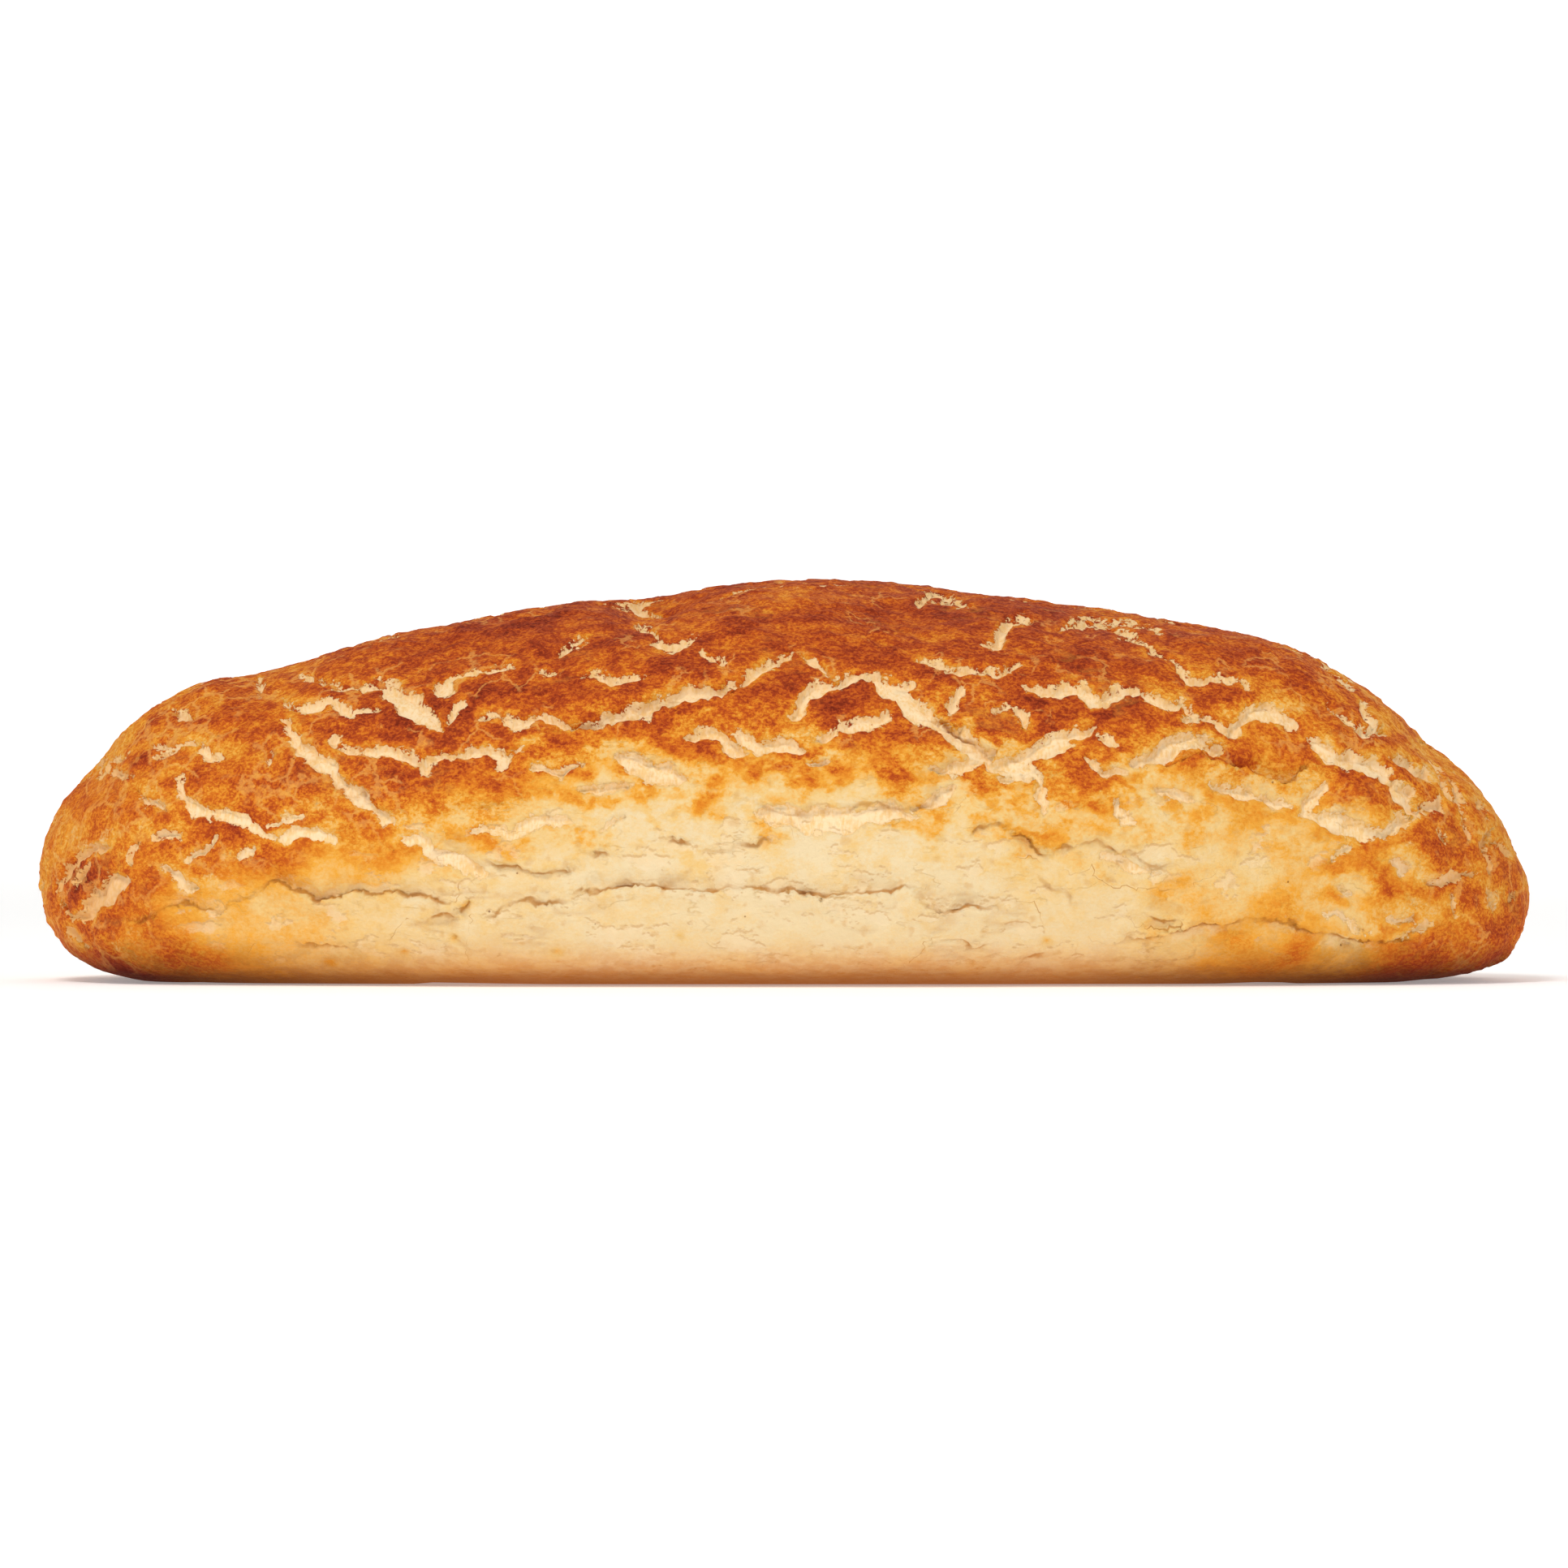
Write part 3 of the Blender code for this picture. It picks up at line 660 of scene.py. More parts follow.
def faded(count):
    """One at the middle of a tear and less towards its two ends."""
    return np.sin(math.pi * np.linspace(0.03, 0.97, count)) ** 0.5


tear_lines = [line_on_front(pixels) for _, _, pixels in TEARS]
depths = [MILLIMETRE * depth * faded(len(line)) for (depth, _, _), line in zip(TEARS, tear_lines)]
lips = [MILLIMETRE * lip * faded(len(line)) for (_, lip, _), line in zip(TEARS, tear_lines)]
tears = lines_object("tear_lines", tear_lines, {"depth": depths, "lip": lips})
print(f"{len(TEARS)} tears")

# %% [markdown]
# ## The crust's relief
# The relief is made by Geometry Nodes, because it follows the surface: every point of the skin asks
# how far the nearest crack is, and sinks or stays. It asks in front view, as the photograph shows
# the cracks. Where the photograph doesn't look, at the back and over the top, the paste breaks by a
# rule instead: a Voronoi pattern, warped by noise, has just such cells with a gap between them. Both
# distances are kept as one attribute in millimetres, below zero inside a crack, so that the material
# can colour the same cracks.

# %% Sizes of the relief
RELIEF_SIZES = {
    "Crack Depth": 0.0017,
    "Crack Floor Swell": 0.0006,
    "Wall Width": 0.0008,
    "Ragged Edge": 0.0042,
    "Ragged Length": 0.0032,
    "Plate Wander": 0.022,
    "Plate Spacing": 0.019,
    "Plate Stretch": 0.62,
    "Nick Spacing": 0.0085,
    "Network Width": 0.0011,
    "Rim Height": 0.00025,
    "Plate Dome": 0.0016,
    "Paste Edge": 0.046,
    "Front Limit": -0.032,
    "Lump Height": 0.0022,
    "Lump Length": 0.0085,
    "Blister Height": 0.0008,
    "Blister Length": 0.0021,
    "Wrinkle Depth": 0.00035,
    "Slit Width": 0.0007,
    "Lip Width": 0.0042,
}
RELIEF_SEED = 7.3
# Noises of the relief: seed, waves in a metre, octaves and, where it isn't a half, roughness.
RELIEF_NOISES = {
    "breadth of a crack": (21.0, 1 / 0.005, 2.0),
    "drift of the plates": (5.0, 1 / 0.016, 3.0),
    "wrinkle": (81.0, 1 / 0.009, 3.0, 0.6),
    "places with wrinkles": (91.0, 1 / 0.02, 1.0),
    "torn edge": (71.0, 1 / 0.004, 5.0, 0.7),
    "depth of a tear": (75.0, 1 / 0.009, 2.0),
}
OPENING_WAVES = 1 / 0.018  # in a metre: how soon the gap between two plates changes its width
# How wide the gaps between plates are: how much the noise counts for, and where it starts.
GAPS = {"Plate Spacing": (5.5, -2.05), "Nick Spacing": (4.6, -2.55)}
MIDDLE_GREY = (0.5, 0.5, 0.5)  # a noise's colour is this much on average
FRONT_VIEW = (1.0, 0.0, 1.0)  # what leaves out the depth
TORN_EDGE = (0.0065, 0.0065, 0.0065)  # how far noise pushes a tear about
ROUND_THE_END = 0.062  # the radius of the end that the plates are unrolled from


def ask_nearest(tree, lines, place, *attributes):
    """How far the nearest of those lines is, its nearest place, and its numbers there."""
    mesh = add(tree, "GeometryNodeObjectInfo", {"Object": lines}, "Geometry")
    asked = {"Geometry": mesh, "Sample Position": place}
    away = add(tree, "GeometryNodeProximity", asked, "Distance", target_element="EDGES")
    index = add(tree, "GeometryNodeSampleNearest", asked)
    found = [away, away.node.outputs["Position"]]
    for name in attributes:
        value = add(tree, "GeometryNodeInputNamedAttribute", {"Name": name})
        sample = {"Geometry": mesh, "Value": value, "Index": index}
        found.append(add(tree, "GeometryNodeSampleIndex", sample))
    return found


def new_relief_tree():
    tree = bpy.data.node_groups.new("crust_relief", "GeometryNodeTree")
    kinds = {"Geometry": "Geometry", "Crack Lines": "Object", "Tear Lines": "Object"}
    kinds |= {"Crust": "Material", "Seed": "Float"} | dict.fromkeys(RELIEF_SIZES, "Float")
    for name, kind in kinds.items():
        tree.interface.new_socket(name, in_out="INPUT", socket_type=f"NodeSocket{kind}")
    tree.interface.new_socket("Geometry", in_out="OUTPUT", socket_type="NodeSocketGeometry")
    return tree, tree.nodes.new("NodeGroupInput").outputs


# %% [markdown]
# First comes the distance to the nearest crack. The place that asks is itself pushed about by noise,
# which makes an even line ragged, as a torn edge of dry paste is.


# %% Distance to a crack that the photograph shows
def traced_cracks(tree, given, place, y):
    per_metre = add(tree, "divide", [1.0, given["Ragged Length"]])
    wander = add(tree, "noise", [place, given["Seed"], per_metre, 4.0, 0.56], "Color")
    wander = add(tree, "vector_subtract", [wander, MIDDLE_GREY])
    ragged = add(tree, "vector_multiply_add", [wander, given["Ragged Edge"], place])

    # They are asked for in front view, and only on the front.
    flat = add(tree, "vector_multiply", [ragged, FRONT_VIEW])
    away, foot, half = ask_nearest(tree, given["Crack Lines"], flat, "half_width")
    breadth = add(tree, "noise", [place, *RELIEF_NOISES["breadth of a crack"]])
    breadth = add(tree, "multiply_add", [breadth, 3.2, -0.52])
    half = add(tree, "multiply_add", [half, breadth, 0.00012])
    traced = add(tree, "subtract", [away, half])
    behind = add(tree, "smooth", [y, -0.004, 0.003, 0.0, 0.006])
    traced = add(tree, "add", [traced, behind])

    # Below a crack or above it: 1 just below its line, -1 just above, 0 far away.
    foot_z = add(tree, "split", [foot], 2)
    flat_z = add(tree, "split", [flat], 2)
    below = add(tree, "subtract", [foot_z, flat_z])
    below = add(tree, "smooth", [below, -0.0018, 0.0018, -1.0, 1.0])
    near = add(tree, "smooth", [away, 0.002, 0.012, 1.0, 0.0])
    in_front = add(tree, "smooth", [y, -0.012, -0.002, 1.0, 0.0])
    for share in (near, in_front):
        below = add(tree, "multiply", [below, share])
    return ragged, traced, below


# %% [markdown]
# The plates at the back and on the top are long cells with gaps of changing width. The skin is
# unrolled for them, into a length along the loaf and a length round it. Low down in the middle there
# is no paste, so there are no plates.


# %% Distance to a crack by rule
def plate_network(tree, given, place, ragged):
    x, y, z = add(tree, "split", [place]).node.outputs
    drift = add(tree, "noise", [place, *RELIEF_NOISES["drift of the plates"]], "Color")
    drift = add(tree, "vector_subtract", [drift, MIDDLE_GREY])
    drift = add(tree, "vector_multiply_add", [drift, given["Plate Wander"], ragged])
    far, side, up = add(tree, "split", [drift]).node.outputs
    up = add(tree, "subtract", [up, WIDEST_HEIGHT])
    spoke = add(tree, "join", [0.0, side, up])
    radius = add(tree, "vector_length", [spoke], "Value")
    angle = add(tree, "arctan2", [side, up])
    round_it = add(tree, "multiply", [angle, radius])
    inward = add(tree, "subtract", [ROUND_THE_END, radius])
    inward = add(tree, "multiply_add", [inward, 2.0 / LENGTH, 1.0])
    along = add(tree, "multiply", [far, inward])
    along = add(tree, "multiply", [along, given["Plate Stretch"]])
    unrolled = add(tree, "join", [along, round_it, 0.0])
    gaps = []
    for spacing, (slope, start) in GAPS.items():
        per_metre = add(tree, "divide", [1.0, given[spacing]])
        cell = {"Vector": unrolled, "Scale": per_metre, "Randomness": 0.9}
        cell = add(tree, "cell_edges", cell, voronoi_dimensions="2D")
        gap = add(tree, "multiply", [cell, given[spacing]])
        opening = add(tree, "noise", [place, start, OPENING_WAVES, 1.0])
        opening = add(tree, "multiply_add", [opening, slope, start])
        opening = add(tree, "multiply", [opening, given["Network Width"]])
        gaps.append(add(tree, "subtract", [gap, opening]))
    front_end = add(tree, "add", [given["Front Limit"], 0.02])
    seen = add(tree, "smooth", [y, given["Front Limit"], front_end, 0.004, 0.0])
    network = add(tree, "minimum", gaps)
    network = add(tree, "add", [network, seen])

    low_end = add(tree, "subtract", [given["Paste Edge"], 0.016])
    pasted = add(tree, "smooth", [z, low_end, given["Paste Edge"]])
    out = add(tree, "absolute", [x])
    at_ends = add(tree, "smooth", [out, 0.1, 0.14, 0.0, 0.75])
    pasted = add(tree, "maximum", [pasted, at_ends])
    bare = add(tree, "multiply_add", [pasted, -0.004, 0.004])
    return add(tree, "add", [network, bare]), pasted


# %% [markdown]
# From that distance come a wall, a floor that swells a little in the middle of a wide crack, where the
# crumb pushed up, and a plate's rim that curled up as it dried. Lumps, blisters and wrinkles are plain
# noise of three lengths.


# %% Depth of cracks, lumps and wrinkles
def crust_rise(tree, given, place, edge, pasted, below):
    inside = add(tree, "multiply", [edge, -1.0])
    top = add(tree, "multiply", [given["Wall Width"], -0.3])
    tilt = add(tree, "multiply_add", [below, 0.12, -1.0])
    deep = add(tree, "multiply", [given["Crack Depth"], tilt])
    wall = add(tree, "smooth", [inside, top, given["Wall Width"], 0.0, deep])
    floor = add(tree, "smooth", [inside, 0.0006, 0.0026, 0.0, given["Crack Floor Swell"]])
    rim_in = add(tree, "smooth", [edge, 0.0, 0.0009, 0.0, given["Rim Height"]])
    rim_out = add(tree, "smooth", [edge, 0.0009, 0.0028, 1.0, 0.0])
    total = add(tree, "multiply_add", [rim_in, rim_out, wall])
    total = add(tree, "add", [total, floor])
    dome = add(tree, "smooth", [edge, 0.0, 0.01, 0.0, given["Plate Dome"]])
    total = add(tree, "add", [total, dome])
    thick = add(tree, "multiply_add", [pasted, 0.6, 0.4])
    total = add(tree, "multiply", [total, thick])

    # Lumps everywhere, and blisters that are highest on the paste.
    blistered = add(tree, "multiply_add", [pasted, 0.65, 0.35])
    for name, share in {"Lump": 1.0, "Blister": blistered}.items():
        per_metre = add(tree, "divide", [1.0, given[name + " Length"]])
        lump = add(tree, "noise", [place, given["Seed"], per_metre, 2.0])
        lump = add(tree, "subtract", [lump, 0.5])
        lump = add(tree, "multiply", [lump, share])
        total = add(tree, "multiply_add", [lump, given[name + " Height"], total])

    # Wrinkles of the bare skin: thin folds along the loaf where a drawn-out noise passes its middle.
    drawn = add(tree, "vector_multiply", [place, (0.3, 1.0, 1.0)])
    fold = add(tree, "noise", [drawn, *RELIEF_NOISES["wrinkle"]])
    fold = add(tree, "subtract", [fold, 0.5])
    fold = add(tree, "absolute", [fold])
    fold = add(tree, "smooth", [fold, 0.0, 0.03, 1.0, 0.0])
    rare = add(tree, "noise", [place, *RELIEF_NOISES["places with wrinkles"]])
    rare = add(tree, "smooth", [rare, 0.53, 0.64])
    wrinkle = add(tree, "multiply", [fold, rare])
    sunk = add(tree, "multiply", [wrinkle, given["Wrinkle Depth"]])
    return add(tree, "subtract", [total, sunk]), wrinkle


# %% [markdown]
# A tear sinks just below its line, or above it where its lip is below zero. The dough on the other
# side bulges and leans over the slit, so it is moved along the surface's normal and up or down as
# well, which makes a real overhang with its own shadow. At the back the loaf tore too, but nobody
# photographed that: the same tears serve, turned end for end.


# %% Slit and lip of a tear
def tear_shift(tree, given, place, y):
    wobble = add(tree, "noise", [place, *RELIEF_NOISES["torn edge"]], "Color")
    wobble = add(tree, "vector_subtract", [wobble, MIDDLE_GREY])
    torn = add(tree, "vector_multiply_add", [wobble, TORN_EDGE, place])
    turn = add(tree, "less_than", [y, 0.0])
    turn = add(tree, "multiply_add", [turn, 2.0, -1.0])
    turn = add(tree, "join", [turn, 0.0, 1.0])
    torn = add(tree, "vector_multiply", [torn, turn])
    away, foot, deep, lip = ask_nearest(tree, given["Tear Lines"], torn, "depth", "lip")
    uneven = add(tree, "noise", [place, *RELIEF_NOISES["depth of a tear"]])
    uneven = add(tree, "smooth", [uneven, 0.36, 0.6, 0.25, 1.0])
    deep = add(tree, "multiply", [deep, uneven])
    foot_z = add(tree, "split", [foot], 2)
    torn_z = add(tree, "split", [torn], 2)
    above = add(tree, "subtract", [torn_z, foot_z])
    above = add(tree, "sign", [above])
    overhang = add(tree, "sign", [lip])
    side = add(tree, "multiply", [above, overhang])
    signed = add(tree, "multiply", [away, side])
    size = add(tree, "absolute", [lip])

    off = add(tree, "multiply_add", [given["Slit Width"], 0.3, signed])
    off = add(tree, "absolute", [off])
    slit = add(tree, "smooth", [off, 0.0, given["Slit Width"], 1.0, 0.0])
    slit = add(tree, "multiply", [slit, deep])
    valley = add(tree, "smoother", [signed, -0.0055, 0.0, 0.0, 1.1])
    under = add(tree, "smooth", [signed, 0.0006, -0.0002])
    valley = add(tree, "multiply", [valley, under])
    valley = add(tree, "multiply", [valley, deep])
    slit = add(tree, "multiply_add", [slit, 0.35, valley])
    start = add(tree, "smooth", [signed, -0.0003, 0.0008])
    end = add(tree, "smoother", [signed, 0.0008, given["Lip Width"], 1.0, 0.0])
    bulge = add(tree, "multiply", [start, end])
    bulge = add(tree, "multiply", [bulge, size])
    rise = add(tree, "subtract", [bulge, slit])
    lean = add(tree, "multiply", [bulge, overhang])
    lean = add(tree, "multiply", [lean, -0.8])
    return rise, lean, signed, deep


# %% [markdown]
# The last tree puts these together, keeps what the material needs as attributes, and ends in real
# geometry that carries its material. The foot stays flat on the table.

# %% Put the relief together
FLAT_RELIEF = 0.005


def relief_tree():
    tree, given = new_relief_tree()
    place = add(tree, "GeometryNodeInputPosition")
    _, y, z = add(tree, "split", [place]).node.outputs
    ragged, traced, below = traced_cracks(tree, given, place, y)
    network, pasted = plate_network(tree, given, place, ragged)
    edge = add(tree, "minimum", [traced, network])
    swollen, wrinkle = crust_rise(tree, given, place, edge, pasted, below)
    torn_rise, lean, tear, torn = tear_shift(tree, given, place, y)
    rise = add(tree, "add", [swollen, torn_rise])
    clear = add(tree, "smooth", [z, 0.0, FLAT_RELIEF])
    rise = add(tree, "multiply", [rise, clear])
    normal = add(tree, "GeometryNodeInputNormal")
    along = add(tree, "vector_scale", {0: normal, "Scale": rise})
    down = add(tree, "join", [0.0, 0.0, lean])
    shift = add(tree, "vector_add", [along, down])

    shape = given["Geometry"]
    in_mm = {"crack": edge, "tear": tear, "torn": torn, "rise": swollen}
    in_mm = {name: add(tree, "multiply", [value, 1000.0]) for name, value in in_mm.items()}
    for name, value in (in_mm | {"wrinkle": wrinkle, "below": below}).items():
        kept = {"Geometry": shape, "Name": name, "Value": value}
        shape = add(tree, "GeometryNodeStoreNamedAttribute", kept, domain="POINT")
    shape = add(tree, "GeometryNodeSetPosition", {"Geometry": shape, "Offset": shift})
    shape = add(tree, "GeometryNodeRealizeInstances", [shape])
    shape = add(tree, "GeometryNodeSetMaterial", {"Geometry": shape, "Material": given["Crust"]})
    tree.links.new(shape, tree.nodes.new("NodeGroupOutput").inputs[0])
    return tree

# %% [markdown]
# ## The baked crust as a material
# Bread crust is browned starch and sugar, dry and matt, and never one colour. One number, how brown a
# place is, drives the colour from cream to dark brown. It rises with height, because the top is
# nearest to the heat and has the paste on it, and towards the ends. The tones from above are added,
# and noise of four lengths mottles it. Everything is measured in millimetres here.

# %% Colours and noises of the crust
CREAM_TO_BROWN = [
    (0.00, "efd8ac"),
    (0.20, "efc780"),
    (0.35, "f0aa40"),
    (0.48, "e68d28"),
    (0.60, "d46d1e"),
    (0.72, "bb501b"),
    (0.84, "9f3b1a"),
    (1.00, "752511"),
]
# Height as a share of TOP_HEIGHT, then how brown it is there in the middle of the loaf.
BROWN_BY_HEIGHT = [
    (0.00, 0.16), (0.06, 0.10), (0.12, 0.04), (0.20, 0.05), (0.34, 0.13), (0.44, 0.29),
    (0.52, 0.44), (0.60, 0.59), (0.70, 0.70), (0.84, 0.79), (0.96, 0.84),
]
TOP_HEIGHT = 90.0
PALEST_X = (-4.0, 12.0)  # mm right of the middle, low down and higher up
# Seed, length in mm, octaves, then the weight where the crust is pale and where it is brown.
MOTTLE = {
    "broad": (1.0, 24.0, 1.0, 0.03, 0.04),
    "blotch": (2.0, 8.0, 6.0, 0.045, 0.09),
    "fleck": (4.0, 2.6, 5.0, 0.055, 0.11),
    "grain": (3.0, 0.55, 2.0, 0.04, 0.19),
}
# The other noises: seed, waves in a millimetre, octaves and, where it isn't a half, roughness.
NOISES = {
    "thin paste": (5.0, 1 / 7.0, 2.0),
    "stray": (15.0, 1 / 4.0, 4.0, 0.6),
    "split": (17.0, 1 / 11.0, 3.0),
    "threads": (6.0, 1 / 0.6, 2.0),
    "jag": (8.0, 1 / 2.4, 5.0, 0.56),
    "peeling": (9.0, 1 / 5.5, 4.0, 0.6),
    "hairlines": (31.0, 1 / 4.6, 3.0, 0.55),
    "places with hairlines": (35.0, 1 / 7.0, 3.0),
    "loose": (37.0, 1 / 2.5, 3.0),
    "skin": (12.0, 1 / 1.3, 3.0, 0.6),
}
# Cells, as waves in a millimetre: a plate that has split, a pore and a burnt speck.
CRAZE_CELLS, PORE_CELLS, SPECK_CELLS = 1 / 8.0, 1 / 4.8, 1 / 12.0
CRAZE_STRAY, PORE_STRAY = (7.0, 7.0, 7.0), (3.5, 3.5, 3.5)  # mm that noise pushes them about
COLOURS = {
    "craze": "e8a657",
    "crumb shade": "f5cc8b",
    "crumb": "fde2b6",
    "high crumb": "efc07a",
    "thin crumb": "e8a251",
    # painted shade: the crumb is darker next to a crack's wall
    "crumb in painted shade by a wall": "f0bb69",
    # painted shade: the crumb is darker at the top of a crack, under the plate above it
    "crumb in painted shade under a plate": "e0a050",
    "peeled": "f6e1be",
    # painted shadow: a thin tan line along the upper edge of a peel
    "painted shadow along a peel": "c99551",
    "wrinkle": "cc8c3e",
    "hairline": "c4914c",
    # torn dull skin beside a tear, partly painted shade in the sunken band there
    "torn skin and painted shade beside a tear": "f0d3a2",
    # painted shade: the dark line of a tear's slit
    "painted shade of a slit in dough": "bd7c2e",
    "painted shade of a slit in crust": "8f3c12",
    "pore": "d9a35c",
    "speck": "7a3a14",
    # toasted brown, partly painted contact shade at the foot
    "toast and painted contact shade": "cc7c2c",
    "burnt": "621f0c",
}
COLOURS = {name: linear(code) for name, code in COLOURS.items()}

# %% [markdown]
# How brown a place is, is built up step by step: first its height and how near an end it is, then the
# tones from above and the mottling, then what stands proud, the two edges of a plate, its rim, and the
# fine splits in it. The border between bare dough and paste is wavy, because the height that counts is
# itself pushed up and down by noise.


# %% How brown each place is
def height_and_ends(tree, millimetres, noise):
    """How brown the crust is by height in the middle of the loaf, and towards its two ends."""
    x, _, z = add(tree, "split", [millimetres]).node.outputs
    wavy = add(tree, "multiply_add", [noise["blotch_up_down"], 7.5, z])
    wavy = add(tree, "multiply_add", [noise["fleck_up_down"], 5.0, wavy])
    share = add(tree, "divide", [wavy, TOP_HEIGHT])
    middle = add(tree, "ShaderNodeFloatCurve", {"Value": share})
    curve = middle.node.mapping.curves[0]
    curve.points[0].location = BROWN_BY_HEIGHT[0]
    curve.points[1].location = (1.0, BROWN_BY_HEIGHT[-1][1])
    for point in BROWN_BY_HEIGHT[1:]:
        curve.points.new(*point)
    middle.node.mapping.update()
    palest = add(tree, "smooth", [z, 18.0, 32.0, *PALEST_X])
    out = add(tree, "subtract", [x, palest])
    out = add(tree, "absolute", [out])
    nearer = add(tree, "range", [z, 18.0, 32.0, 0.84, 1.0])
    out = add(tree, "multiply", [out, nearer])
    at_end = add(tree, "smooth", [out, 35.0, 150.0])
    end = add(tree, "smooth", [wavy, 45.0, 85.0, 0.6, 0.74])
    return add(tree, "mix", {0: at_end, 2: middle, 3: end}), at_end


def crazing(tree, millimetres, level, at_end):
    """Where a plate has split but not opened: a pale line thinner than half a millimetre."""
    stray = add(tree, "noise", [millimetres, *NOISES["stray"]], "Color")
    stray = add(tree, "vector_multiply_add", [stray, CRAZE_STRAY, millimetres])
    craze = {"Vector": stray, "Scale": CRAZE_CELLS, "Randomness": 1.0}
    craze = add(tree, "cell_edges", craze)
    broad = add(tree, "multiply_add", [at_end, 0.03, 0.06])
    craze = add(tree, "smooth", [craze, 0.012, broad, 1.0, 0.0])
    split = add(tree, "noise", [millimetres, *NOISES["split"]])
    split = add(tree, "multiply_add", [at_end, 0.09, split])
    split = add(tree, "smooth", [split, 0.54, 0.62])
    dark = add(tree, "range", [level, 0.4, 0.6, 0.0, 0.5])
    for share in (split, dark):
        craze = add(tree, "multiply", [craze, share])
    return craze


def browning(tree, millimetres, kept):
    noise = {}
    drawn = add(tree, "vector_multiply", [millimetres, (0.75, 1.0, 1.0)])
    for name, (seed, length, octaves, _, _) in MOTTLE.items():
        noise[name] = add(tree, "noise", [drawn, seed, 1 / length, octaves, 0.6])
        noise[name + "_up_down"] = add(tree, "smooth", [noise[name], 0.4, 0.6, -0.5, 0.5])

    level, at_end = height_and_ends(tree, millimetres, noise)
    level = add(tree, "add", [level, kept["tone"]])
    brown = level
    for name, (_, _, _, pale, dark) in MOTTLE.items():
        weight = add(tree, "smooth", [level, 0.32, 0.68, pale, dark])
        brown = add(tree, "multiply_add", [noise[name + "_up_down"], weight, brown])

    # What stands proud browns first.
    proud = add(tree, "range", [kept["rise"], 0.0, 2.0, -0.07, 0.07])
    brown = add(tree, "add", [brown, proud])

    # The upper edge of a plate faces the heat and its lower edge faces the tray.
    weight = add(tree, "range", [level, 0.15, 0.45, 0.03, 0.11])
    less = add(tree, "range", [level, 0.56, 0.72, 1.0, 0.25])
    weight = add(tree, "multiply", [weight, less])
    brown = add(tree, "multiply_add", [kept["below"], weight, brown])

    # The rim of a plate is paler in places, where the paste was thin.
    rim = add(tree, "smooth", [kept["crack"], 0.0, 1.8, -0.28, 0.0])
    thin = add(tree, "noise", [millimetres, *NOISES["thin paste"]])
    thin = add(tree, "smooth", [thin, 0.46, 0.6])
    rim = add(tree, "multiply_add", [rim, thin, 1.0])
    brown = add(tree, "multiply", [brown, rim])

    craze = crazing(tree, millimetres, level, at_end)
    brown = add(tree, "multiply_add", [craze, -0.15, brown])
    return brown, craze, at_end, noise


# %% [markdown]
# The crumb in the cracks is cream, with fine threads across. It is darker high up, at the two ends and
# behind, where the gaps are narrow and dry out. Next to a crack's wall, and at the top of a crack
# under the plate above it, it is darker with painted shade. The plates end in a jagged line, finer
# than the mesh can show.


# %% Colour of crust and crumb
def crust_colour(tree, millimetres, kept, brown, craze, noise):
    x, y, z = add(tree, "split", [millimetres]).node.outputs
    crust = add(tree, "ShaderNodeValToRGB", {"Fac": brown})
    stops = crust.node.color_ramp.elements
    for stop, (at, code) in zip(stops, (CREAM_TO_BROWN[0], CREAM_TO_BROWN[-1])):
        stop.position, stop.color = at, linear(code)
    for at, code in CREAM_TO_BROWN[1:-1]:
        stops.new(at).color = linear(code)
    crust = add(tree, "blend", {0: craze, 6: crust, 7: COLOURS["craze"]}, 2)

    drawn = add(tree, "vector_multiply", [millimetres, (1.0, 1.0, 0.3)])
    threads = add(tree, "noise", [drawn, *NOISES["threads"]])
    tone = add(tree, "add", [threads, noise["fleck"]])
    tone = add(tree, "smooth", [tone, 0.75, 1.15])
    out = add(tree, "absolute", [x])
    thin = add(tree, "range", [out, 128.0, 155.0, 0.0, 0.7])
    behind = add(tree, "smooth", [y, -20.0, 20.0, 0.0, 0.4])
    shares = {
        "crumb": tone,
        "high crumb": add(tree, "smooth", [z, 50.0, 88.0, 0.0, 0.2]),
        "thin crumb": add(tree, "maximum", [thin, behind]),
        # painted shade: the crumb is darker next to a crack's wall and under the plate above it
        "crumb in painted shade by a wall": add(tree, "smooth", [kept["crack"], -0.8, 0.0, 0.0, 0.3]),
        "crumb in painted shade under a plate": add(tree, "smooth", [kept["below"], 0.0, -1.0, 0.0, 0.1]),
    }
    crumb = COLOURS["crumb shade"]
    for name, share in shares.items():
        crumb = add(tree, "blend", {0: share, 6: crumb, 7: COLOURS[name]}, 2)

    jag = add(tree, "noise", [millimetres, *NOISES["jag"]])
    jag = add(tree, "subtract", [jag, 0.5])
    jagged = add(tree, "multiply_add", [jag, 3.4, kept["crack"]])
    grains = add(tree, "subtract", [noise["grain"], 0.5])
    jagged = add(tree, "multiply_add", [grains, 1.8, jagged])
    is_crust = add(tree, "smooth", [jagged, -0.12, 0.12])
    return add(tree, "blend", {0: is_crust, 6: crumb, 7: crust}, 2), is_crust, threads


# %% [markdown]
# The bare side has marks of its own. Each function below finds how much of one mark there is at every
# place, and the last one lays them over each other in turn. Where the outermost skin has peeled it is
# paler, with a thin tan shadow painted along its upper edge: the same noise is read twice, here and
# half a millimetre higher, and what only the first reading has is that edge of painted shadow.

# %% Marks on the bare side
PEEL_SHADOW = 0.5  # mm


